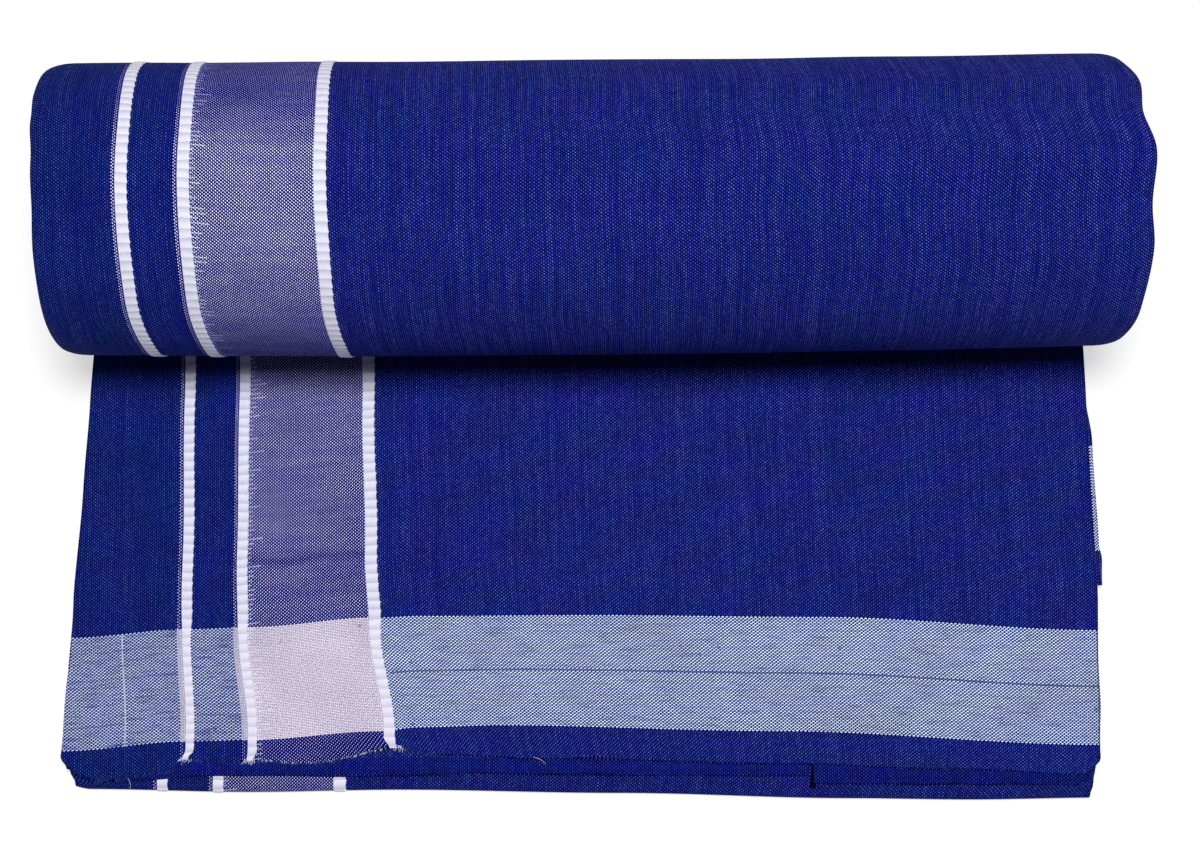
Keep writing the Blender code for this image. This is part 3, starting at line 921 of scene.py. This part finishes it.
def top_surface(x, y):
    """The height of the top cloth's upper face."""
    uneven = woven_size("unevenness")
    height = FOLD_HEIGHT + SECOND_WALL + 2 * SEAM + layer_height(y) + TOP_WALL
    under_roll = eased((y - 10.0) / 20.0)
    rise = creases(x, y, TOP_CREASES) + uneven * soft_noise(x, y * 1.6, 3.0, 34.0)
    return height + rise * (1 - under_roll)


def corner_pull(x, y, left, right, near):
    """How far a place near a corner draws in along X and Y, so that the corner is round."""
    by_near, by_left, by_right = (
        eased(1 - inset / CORNER_ROUND) for inset in (y - near, x - left, right - x)
    )
    pull = 0.3 * CORNER_ROUND * by_near
    return pull * (by_left - by_right), pull * max(by_left, by_right)


def build_top_cloth():
    across = inwards(evenly(TOP_MARKS[0], TOP_MARKS[-1], 196), (0.3, 0.9))
    along = [*evenly(0, 1, 8)[:-1], *evenly(1, 2, 20)[:-1], *evenly(2, 3, 46)]
    along = sorted({*along, 0.05})

    def place(woven, step, depth):
        x, y, _ = top_flat(woven, step)
        z = top_surface(x, y) - TOP_WALL * depth
        dx, dy = corner_pull(x, y, *sides_at(TOP_SIDES, y), read_table(TOP_NEAR, x))
        return x + dx, y + dy, z

    def weave(woven, step, depth):
        x, y, along_warp = top_flat(woven, step)
        if woven < 0:
            woven = x - read_table(TOP_BORDER, y, 1)
        return woven, along_warp - (TOP_WALL * depth if step == 0 else 0)

    push = stack_edges(TOP_WALL, 1, 40, 5.0, plain=("far",))
    return layered_sheet(across, along, place, weave, push, RIM_ROWS)


def flat_along(near_y, fine):
    """Shares along a stack whose near edge shows: close together there, and far apart behind."""
    marks = [near_y + step for step in fine]
    marks += [mark for mark in (-84, -72, -60, -55, -50.5, -46.6, -35, -24, -10, 4, 17, 30, 50)
              if mark > marks[-1] + 2]
    return [(mark - near_y) / (JOIN_Y - near_y) for mark in marks]


NEAR_STEPS = (0.0, 0.35, 0.9, 1.8, 3.0, 4.5, 6.5, 9.0, 13.0)


def build_second_cloth(at_left):
    """One of the two pieces of the second stack, on one side of the slit between them."""
    uneven = woven_size("unevenness")
    across = inwards(evenly(0, 1, 110 if at_left else 50), (0.002, 0.006))
    along = flat_along(SECOND_NEAR_Y, NEAR_STEPS)

    def flat(share_across, share):
        nominal = mixed(SECOND_NEAR_Y, JOIN_Y, share)
        gap = mixed(SLIT_GAP, SEAM, eased((nominal - SECOND_NEAR_Y) / SLIT_LENGTH)) / 2
        left, right = sides_at(SECOND_SIDES, nominal)
        ends = (left, SLIT_X - gap) if at_left else (SLIT_X + gap, right)
        x = mixed(*ends, share_across)
        near = read_table(SECOND_NEAR, min(x, SLIT_X - 2) if at_left else max(x, SLIT_X + 2))
        return x, mixed(near, join_y(x), share), left, right, near

    def place(share_across, share, depth):
        x, y, left, right, near = flat(share_across, share)
        dx, dy = corner_pull(x, y, left, right, near)
        z = FOLD_HEIGHT + SEAM + layer_height(y) + SECOND_WALL * (1 - depth)
        z += uneven * 0.6 * soft_noise(x, y, 11.0, 16.0) * (1 - depth) * (share < 0.05)
        return x + dx, y + dy, z

    def weave(share_across, share, depth):
        x, y, *_ = flat(share_across, share)
        return x + PLAIN_STRETCH, y - SECOND_NEAR_Y - 16.0

    plain = ("far", "right" if at_left else "left")
    push = stack_edges(SECOND_WALL, 1, 150, 15.0, plain, cut_spread=200)
    return layered_sheet(across, along, place, weave, push, RIM_ROWS)


def build_inner_cloth():
    """A stack whose cut end stops short of the others and shows only at the right edge."""
    across = inwards(evenly(0, 1, 60), (0.002, 0.006))
    along = [*evenly(0, 0.75, 64), 0.85, 0.93, 1.0]
    band = woven_size("band_width")

    def flat(share_across, share):
        nominal = mixed(INNER_NEAR_Y, JOIN_Y, share)
        x = mixed(*sides_at(INNER_SIDES, nominal), share_across)
        return x, mixed(INNER_NEAR_Y, join_y(x), share)

    def place(share_across, share, depth):
        x, y = flat(share_across, share)
        return x, y, FOLD_HEIGHT + SEAM + INNER_WALL * (1 - depth)

    def weave(share_across, share, depth):
        x, y = flat(share_across, share)
        return x + PLAIN_STRETCH, (y - INNER_BAND_NEAR_Y) * band / INNER_BAND_LENGTH

    push = stack_edges(INNER_WALL, 0.5, 90, 25.0, cut_share=1, cut_spread=200)
    return layered_sheet(across, along, place, weave, push, RIM_ROWS)


FOLD_MARKS = border_marks(-29.0, 291.5)


def fold_spot(woven, side, step, depth, rise=0.0):
    """A point of the lowest stack, which is folded over at the near end. `side` is below, nose or
    above, and `step` is how far along that it is, from 0 at the fold."""
    share = 0.0 if side == "nose" else step
    nominal = mixed(FOLD_NEAR_Y, JOIN_Y, share)
    x = laid(woven, FOLD_MARKS, border_places(FOLD_SIDES, FOLD_BORDER, nominal))
    middle = FOLD_HEIGHT / 2
    y = mixed(read_table(FOLD_NEAR, x) + middle, join_y(x), share)
    reach = middle - FOLD_WALL * depth + rise
    if side == "below":
        return x, y, middle - reach
    if side == "above":
        return x, y, middle + reach
    turn = math.pi * step
    return x, y - reach * math.sin(turn), middle - reach * math.cos(turn)


def fold_length(side, step):
    """The way along the cloth from the fold's foremost line, in millimetres."""
    if side == "nose":
        return FOLD_NOSE * (step - 0.5)
    way = FOLD_NOSE / 2 + step * (JOIN_Y - FOLD_NEAR_Y)
    return way if side == "above" else -way


def build_under_cloth():
    loose = woven_size("looseness")
    across = inwards(evenly(FOLD_MARKS[0], FOLD_MARKS[-1], 150), (0.3, 0.9))
    shares = flat_along(FOLD_NEAR_Y, (0.0, 0.8, 1.8, 3.0, 4.5, 6.5, 10.0))
    along = [("below", share) for share in shares[:0:-2]]
    along += [("nose", share) for share in evenly(0, 1, 13)]
    along += [("above", share) for share in shares[1:]]

    def place(woven, step, depth):
        return fold_spot(woven, *step, depth)

    def weave(woven, step, depth):
        return woven, fold_length(*step) + FOLD_WOVEN

    def push(side, at, depth):
        if side in ("near", "far"):
            return 0.0
        layers = SELVEDGE_SIDE if side == "left" else FOLDED_SIDE
        return layer_edge(depth, layers, FOLD_WALL, loose * 0.8, fold_length(*at), 37.0)

    return layered_sheet(across, along, place, weave, push, RIM_ROWS)


# The roll.

ROLL_MARKS = border_marks(-28.0, 297.0)
TURN_LENGTH = math.radians(1) * (ROLL_RADIUS - TURN_PITCH / 2)


def roll_x(woven, turn):
    first = read_table(ROLL_DRIFT, turn)
    left, right = sides_at(ROLL_ENDS, turn)
    return laid(woven, ROLL_MARKS, (left, *(first + cord for cord in CORDS), right))


def roll_dips(x, turn):
    """Soft rises and dips of the turn round the roll, none where it is pressed flat."""
    uneven = woven_size("unevenness")
    free = eased((turn - 40) / 30) * eased((325 - turn) / 30)
    rise = 1.4 * uneven * soft_noise(x, turn * 0.9, 43.0, 42.0)
    rise += 0.8 * uneven * soft_noise(x * 0.25, turn * 0.9, 44.0, 16.0)
    return rise * free


def build_roll_cloth():
    across = inwards(evenly(ROLL_MARKS[0], ROLL_MARKS[-1], 170), (0.3, 0.9, 1.8, 3.4, 5.2))
    along = evenly(WRAP_START, WRAP_END, 150)

    def place(woven, turn, depth):
        x = roll_x(woven, turn)
        return roll_point(x, turn, OUTER_WALL * depth - roll_dips(x, turn) * (1 - depth))

    def weave(woven, turn, depth):
        return woven, ROLL_WOVEN + turn * TURN_LENGTH

    push = stack_edges(OUTER_WALL, 1, 1, 45.0, plain=("near", "far"))
    return layered_sheet(across, along, place, weave, push, RIM_ROWS)


def pack_layers(side):
    """Where sixteen layers part through the pack, four stacks of four."""
    layers = SELVEDGE_SIDE if side == "left" else FOLDED_SIDE
    return tuple((stack + share) / 4 for stack in range(4) for share in layers[:-1]) + (1.0,)


def build_rolled_pack():
    """The wound pack inside the outermost turn: every winding has sixteen layers, whose edges
    show at both ends, and an open eye runs through the middle."""
    loose = woven_size("looseness")
    last = CORE_END + 360 * (CORE_WINDINGS - 1)
    along = evenly(WRAP_START, last, 480)
    across = (0.0, 0.02, 0.06, 0.5, 0.94, 0.98, 1.0)
    wall_depth = OUTER_WALL + SEAM
    layers = {side: pack_layers(side) for side in ("left", "right")}

    def place(share, turned, depth):
        windings, turn = divmod(turned - WRAP_START, 360)
        turn += WRAP_START
        outer = wall_depth * eased((346 - turned) / 8) + TURN_GAP
        way_in = TURN_PITCH * windings + mixed(outer, TURN_PITCH - TURN_GAP, depth)
        left = read_table(ROLL_ENDS, turn, 1) + read_table(CORE_INSETS, turned / 360, 1)
        right = read_table(ROLL_ENDS, turn, 2) - read_table(CORE_INSETS, turned / 360, 2)
        return roll_point(mixed(left, right, share), turn, way_in)

    def weave(share, turned, depth):
        return -60.0 - depth * 9.5, ROLL_WOVEN + turned * TURN_LENGTH

    def push(side, at, depth):
        if side in ("near", "far"):
            return 0.0
        edge = layer_edge(depth, layers[side], TURN_PITCH, loose * 1.5, at * 0.8, 57.0)
        stack = int(min(depth, 0.999) * 4)
        return edge + loose * 2.0 * soft_noise(at, stack * 90, 59.0, 60.0)

    return layered_sheet(across, along, place, weave, push, 3 * RIM_ROWS, bake=False)


# The woven cords.

# One rib of a cord, from its far end: how far down it, its height and its reach to the right.
RIB = (
    (0.0, 0.7, 0.94), (0.07, 0.97, 1.04), (0.2, 1.0, 1.0), (0.42, 0.95, 0.92), (0.65, 0.86, 0.9),
    (0.86, 0.74, 0.9),
)
# How deep a cord sits in the cloth.
CORD_FOOT = 0.12
# Across a cord: place from -1 to 1, share of the rib's height, share of the plain height.
CORD_SECTION = (
    (-1.0, 0.0, -CORD_FOOT),
    (-0.96, 0.1, 0.6),
    (-0.86, 0.2, 0.8),
    (-0.76, 0.3, 0.35),
    (-0.66, 0.9, 0.05),
    (-0.3, 1.0, 0.08),
    (0.1, 1.0, 0.1),
    (0.5, 1.0, 0.08),
    (0.82, 0.9, 0.0),
    (0.95, 0.6, 0.0),
    (1.0, 0.0, -CORD_FOOT),
)


def woven_cord(number, low, high, surface, broad, seed):
    """A cord between two places along the cloth. `surface` gives the point at a place across and
    along the cloth, at a height above it. `broad` is how far it reaches to the right."""
    pitch, rise = woven_size("rib_pitch"), woven_size("cord_raise")
    half = CORD_WIDTHS[number] / 2
    draw = random.Random(seed)
    along, at, count = [], high, 0
    while at > low:
        length_now = pitch * draw.uniform(0.9, 1.1)
        wide, tall = draw.uniform(0.97, 1.03), draw.uniform(0.85, 1.1)
        slant = draw.uniform(-0.15, 0.25)
        for down, lift, reach in RIB:
            place_now = at - length_now * down
            if place_now > low:
                along.append((place_now, count + down, lift * tall, reach * wide, slant))
        at -= length_now
        count += 1
    along.append((low, count, 0.5, 0.9, 0.0))
    along.reverse()

    def place(section, row, depth):
        across, by_rib, plain = section
        at, _, lift, reach, slant = row
        side = across * half * (broad * reach if across > 0 else 0.97)
        height = rise * (by_rib * lift + plain) if depth == 0 else -CORD_FOOT
        return surface(CORDS[number] + side, at + slant * across, height)

    def weave(section, row, depth):
        return section[0] * half, row[1]

    return layered_sheet(CORD_SECTION, along, place, weave, lambda *_: 0.0, 1)


def top_cord_surface(woven, y, height):
    number = min(range(3), key=lambda index: abs(woven - CORDS[index]))
    middle = read_table(TOP_BORDER, y, number + 1)
    # A cord is slimmer in the band, and its cut end is narrow and leans over.
    last = eased(1 - (y - read_table(TOP_NEAR, middle)) / 3.0)
    slim = mixed(1.0, CORD_BAND_SHARES[number], eased((-54.0 - y) / 10.0)) * (1 - 0.35 * last)
    x = middle + (woven - CORDS[number]) * slim + CORD_END_LEANS[number] * last
    return x, y, top_surface(x, y) + height


def roll_cord_surface(woven, way, height):
    turn = way / TURN_LENGTH
    x = read_table(ROLL_DRIFT, turn) + woven
    return roll_point(x, turn, -height - roll_dips(x, turn))


def fold_cord_surface(woven, way, height):
    """The lowest stack's cords come round the fold and go in under the stack above."""
    if way <= FOLD_NOSE / 2:
        x, y, z = fold_spot(woven, "nose", way / FOLD_NOSE + 0.5, 0.0, height)
    else:
        step = (way - FOLD_NOSE / 2) / (JOIN_Y - FOLD_NEAR_Y)
        x, y, z = fold_spot(woven, "above", step, 0.0, min(height, SEAM - 0.02))
    return x, y, max(z, 0.0)


# Threads at the cut ends.


def loose_thread(bm, start, heading, reach, thick, droop):
    """A thread end: a thin tapered rod of three bent pieces."""
    laid = bm.verts.layers.int.get("laid") or bm.verts.layers.int.new("laid")
    bmesh.ops.create_cone(
        bm, segments=5, radius1=thick, radius2=thick * 0.55, depth=1.0, cap_ends=True
    )
    lengthwise = [
        edge for edge in bm.edges
        if not edge.verts[0][laid] and abs(edge.verts[0].co.z - edge.verts[1].co.z) > 0.5
    ]
    bmesh.ops.subdivide_edges(bm, edges=lengthwise, cuts=2)
    forwards = Vector((math.cos(heading), math.sin(heading), 0))
    aside = Vector((-forwards.y, forwards.x, 0))
    for vertex in bm.verts:
        if vertex[laid]:
            continue
        vertex[laid] = 1
        share = vertex.co.z + 0.5
        spot = Vector(start) + forwards * reach * share + aside * vertex.co.x
        spot.z += vertex.co.y + droop * share * share
        spot += aside * reach * 0.18 * math.sin(share * 2.6)
        vertex.co = spot * MM


# Loose fibres on the second stack and at the left: where they start, their heading and reach.
STRAY_FIBRES = (((-17.5, -99.6, 5.75), -0.62, 4.4), ((-142.5, -105.4, 4.4), -1.35, 4.0))
FRAYED_THREADS = 380
CORNER_CLEAR = 8.0
DOWN = -math.pi / 2


def build_white_threads():
    """Short ends of the cords and of the stripe's warps along the top cut."""
    draw = random.Random(21)
    bm = bmesh.new()
    for number, cord in enumerate(CORDS):
        for _ in range(16):
            woven = cord + draw.uniform(-0.9, 0.9) * CORD_WIDTHS[number] / 2
            x, y, _ = top_flat(woven, 0.0)
            x += CORD_END_LEANS[number]
            lean = draw.uniform(-1.1, 0.1) if number < 2 else draw.uniform(-0.3, 0.6)
            start = (x, y + 0.5, top_surface(x, y) + draw.uniform(-0.5, 0.2))
            loose_thread(bm, start, DOWN + lean, draw.uniform(0.9, 2.2), 0.11, -0.3)
    for _ in range(70):
        x, y, _ = top_flat(draw.uniform(CORDS[1] + 2.2, CORDS[2] - 2.4), 0.0)
        start = (x, y + 0.2, top_surface(x, y) + draw.uniform(-0.35, 0.02))
        heading, reach = DOWN + draw.uniform(-0.4, 0.4), draw.uniform(0.4, 0.8)
        loose_thread(bm, start, heading, reach, 0.1, -0.1)
    for start, heading, reach in STRAY_FIBRES:
        loose_thread(bm, start, heading, reach, 0.07, 0.3)
    return bm


def build_blue_threads():
    """Short ends along both cuts. The top one is most frayed along the border."""
    draw = random.Random(22)
    bm = bmesh.new()
    for count in range(560):
        frayed = count < FRAYED_THREADS
        last = CORDS[2] + 12 if frayed else TOP_MARKS[-1] - CORNER_CLEAR
        x, y, _ = top_flat(draw.uniform(TOP_MARKS[0] + CORNER_CLEAR, last), 0.0)
        start = (x, y + 0.3, top_surface(x, y) + draw.uniform(-0.9, -0.05))
        reach = draw.uniform(0.6, 1.9 if frayed else 1.1)
        loose_thread(bm, start, DOWN + draw.uniform(-0.9, 0.9), reach, 0.1, -0.15)
    for _ in range(120):
        x = draw.uniform(-159.0, 154.0)
        if abs(x - SLIT_X) < 3:
            continue
        start = (x, read_table(SECOND_NEAR, x) + 0.3, FOLD_HEIGHT + SEAM + draw.uniform(0.1, 0.9))
        heading, reach = DOWN + draw.uniform(-0.8, 0.8), draw.uniform(0.5, 1.1)
        loose_thread(bm, start, heading, reach, 0.09, -0.15)
    return bm


# Operators.


class DHOTI_OT_top_cloth(bpy.types.Operator):
    """Lays the top stack, with its border and the band near its cut end"""

    bl_idname = "dhoti.top_cloth"
    bl_label = "Top cloth"

    def execute(self, context):
        piece = add_piece("top_cloth", build_top_cloth(), bordered_cotton(), "top_layer")
        return {"FINISHED"}


class DHOTI_OT_second_cloths(bpy.types.Operator):
    """Lays the two pieces of the second stack, on either side of the slit"""

    bl_idname = "dhoti.second_cloths"
    bl_label = "Second cloths"

    def execute(self, context):
        for side, width, long in (("left", 0.228, 0.155), ("right", 0.089, 0.158)):
            bm = build_second_cloth(side == "left")
            node = f"second_layer_{side}"
            piece = add_piece(f"second_cloth_{side}", bm, bordered_cotton(), node)
        return {"FINISHED"}


class DHOTI_OT_inner_cloth(bpy.types.Operator):
    """Lays the stack whose banded end peeks out at the right"""

    bl_idname = "dhoti.inner_cloth"
    bl_label = "Inner cloth"

    def execute(self, context):
        bm = build_inner_cloth()
        piece = add_piece(
            "inner_cloth", bm, bordered_cotton(), "inner_cut_end", slot="pale_band"
        )
        return {"FINISHED"}


class DHOTI_OT_under_cloth(bpy.types.Operator):
    """Lays the lowest stack, folded over at the near end"""

    bl_idname = "dhoti.under_cloth"
    bl_label = "Under cloth"

    def execute(self, context):
        piece = add_piece("under_cloth", build_under_cloth(), bordered_cotton(), "under_layer")
        return {"FINISHED"}


class DHOTI_OT_roll_cloth(bpy.types.Operator):
    """Winds the outermost turn round the roll"""

    bl_idname = "dhoti.roll_cloth"
    bl_label = "Roll cloth"

    def execute(self, context):
        piece = add_piece("roll_cloth", build_roll_cloth(), bordered_cotton(), "roll_outer_turn")
        return {"FINISHED"}


class DHOTI_OT_rolled_pack(bpy.types.Operator):
    """Winds the pack inside the roll, with the edges of its layers at both ends"""

    bl_idname = "dhoti.rolled_pack"
    bl_label = "Rolled pack"

    def execute(self, context):
        bm = build_rolled_pack()
        piece = add_piece("rolled_pack", bm, bordered_cotton(), "roll_turns", slot="rolled_edges")
        return {"FINISHED"}


class DHOTI_OT_woven_cords(bpy.types.Operator):
    """Weaves the three cords of the border along the top cloth, the roll and the fold"""

    bl_idname = "dhoti.woven_cords"
    bl_label = "Woven cords"

    def execute(self, context):
        for number in range(3):
            x = read_table(TOP_BORDER, TOP_NEAR_Y, number + 1)
            near = read_table(TOP_NEAR, x) - 0.3
            turns = (32 * TURN_LENGTH, 326 * TURN_LENGTH)
            runs = (
                ("top", near, 40.0, top_cord_surface, TOP_CORD_REACH),
                ("roll", *turns, roll_cord_surface, ROLL_CORD_REACHES[number]),
                ("fold", -2.0, 7.2, fold_cord_surface, FOLD_CORD_REACH),
            )
            for where, low, high, surface, reach in runs:
                bm = woven_cord(number, low, high, surface, reach, 60 + number)
                add_piece(f"{where}_cord_{number + 1}", bm, cord_cotton())
        return {"FINISHED"}


class DHOTI_OT_cut_threads(bpy.types.Operator):
    """Adds the loose ends of threads along the cut edges"""

    bl_idname = "dhoti.cut_threads"
    bl_label = "Cut threads"

    def execute(self, context):
        colours = context.scene.dhoti_colours
        white = thread_cotton("white_threads", colours.cord_white, colours.cord_shade)
        add_piece("cut_threads_white", build_white_threads(), white)
        blue = thread_cotton("blue_threads", colours.thread_blue, colours.navy)
        add_piece("cut_threads_blue", build_blue_threads(), blue)
        return {"FINISHED"}


class DHOTI_OT_stage(bpy.types.Operator):
    """Sets the pale floor, the soft light and the camera"""

    bl_idname = "dhoti.stage"
    bl_label = "Stage"

    def execute(self, context):
        scene = context.scene
        bm = bmesh.new()
        bmesh.ops.create_grid(bm, x_segments=1, y_segments=1, size=4.0)
        mesh = bpy.data.meshes.new("floor")
        bm.to_mesh(mesh)
        bm.free()
        material, shader = new_material("pale_floor", 0.9, 0.0)
        shader.inputs["Base Color"].default_value = (*scene.dhoti_colours.floor, 1.0)
        shader.inputs["Emission Color"].default_value = (1.0, 1.0, 1.0, 1.0)
        shader.inputs["Emission Strength"].default_value = 0.6
        mesh.materials.append(material)
        floor = bpy.data.objects.new("floor", mesh)
        scene.collection.objects.link(floor)

        world = bpy.data.worlds.new("soft_room")
        world.use_nodes = True
        background = world.node_tree.nodes["Background"]
        background.inputs["Color"].default_value = (1.0, 1.0, 1.0, 1.0)
        background.inputs["Strength"].default_value = 0.08
        scene.world = world

        light = bpy.data.lights.new("overhead", "AREA")
        light.shape = "DISK"
        light.size = 0.42
        light.energy = 20.0
        lamp = bpy.data.objects.new("overhead", light)
        lamp.location = (0.05, 0.0, 1.42)
        lamp.rotation_euler = (-lamp.location).to_track_quat("-Z", "Y").to_euler()
        scene.collection.objects.link(lamp)

        lens = bpy.data.cameras.new("camera")
        lens.sensor_width = 36.0
        lens.lens = 67.95
        camera = bpy.data.objects.new("camera", lens)
        camera.location = (0.003, -0.170, 0.706)
        camera.rotation_euler = (math.radians(14), 0, 0)
        scene.collection.objects.link(camera)
        scene.camera = camera
        scene.view_settings.view_transform = "Standard"
        return {"FINISHED"}


OPERATORS = (
    DHOTI_OT_top_cloth,
    DHOTI_OT_second_cloths,
    DHOTI_OT_inner_cloth,
    DHOTI_OT_under_cloth,
    DHOTI_OT_roll_cloth,
    DHOTI_OT_rolled_pack,
    DHOTI_OT_woven_cords,
    DHOTI_OT_cut_threads,
    DHOTI_OT_stage,
)


class DHOTI_PT_panel(bpy.types.Panel):
    """Lists the pieces of the cloth in the order of laying"""

    bl_idname = "DHOTI_PT_panel"
    bl_label = "Dhoti cloth"
    bl_space_type = "VIEW_3D"
    bl_region_type = "UI"
    bl_category = "Dhoti"

    def draw(self, context):
        for operator in OPERATORS:
            self.layout.operator(operator.bl_idname)
        for group in (context.scene.dhoti_weave, context.scene.dhoti_colours):
            for name in group.__annotations__:
                self.layout.prop(group, name)


CLASSES = (DhotiWeave, DhotiColours, *OPERATORS, DHOTI_PT_panel)


def register():
    for each in CLASSES:
        bpy.utils.register_class(each)
    bpy.types.Scene.dhoti_weave = bpy.props.PointerProperty(type=DhotiWeave)
    bpy.types.Scene.dhoti_colours = bpy.props.PointerProperty(type=DhotiColours)


def unregister():
    del bpy.types.Scene.dhoti_colours
    del bpy.types.Scene.dhoti_weave
    for each in reversed(CLASSES):
        bpy.utils.unregister_class(each)


def main():
    register()
    for operator in OPERATORS:
        module, name = operator.bl_idname.split(".")
        getattr(getattr(bpy.ops, module), name)()


if __name__ == "__main__":
    main()
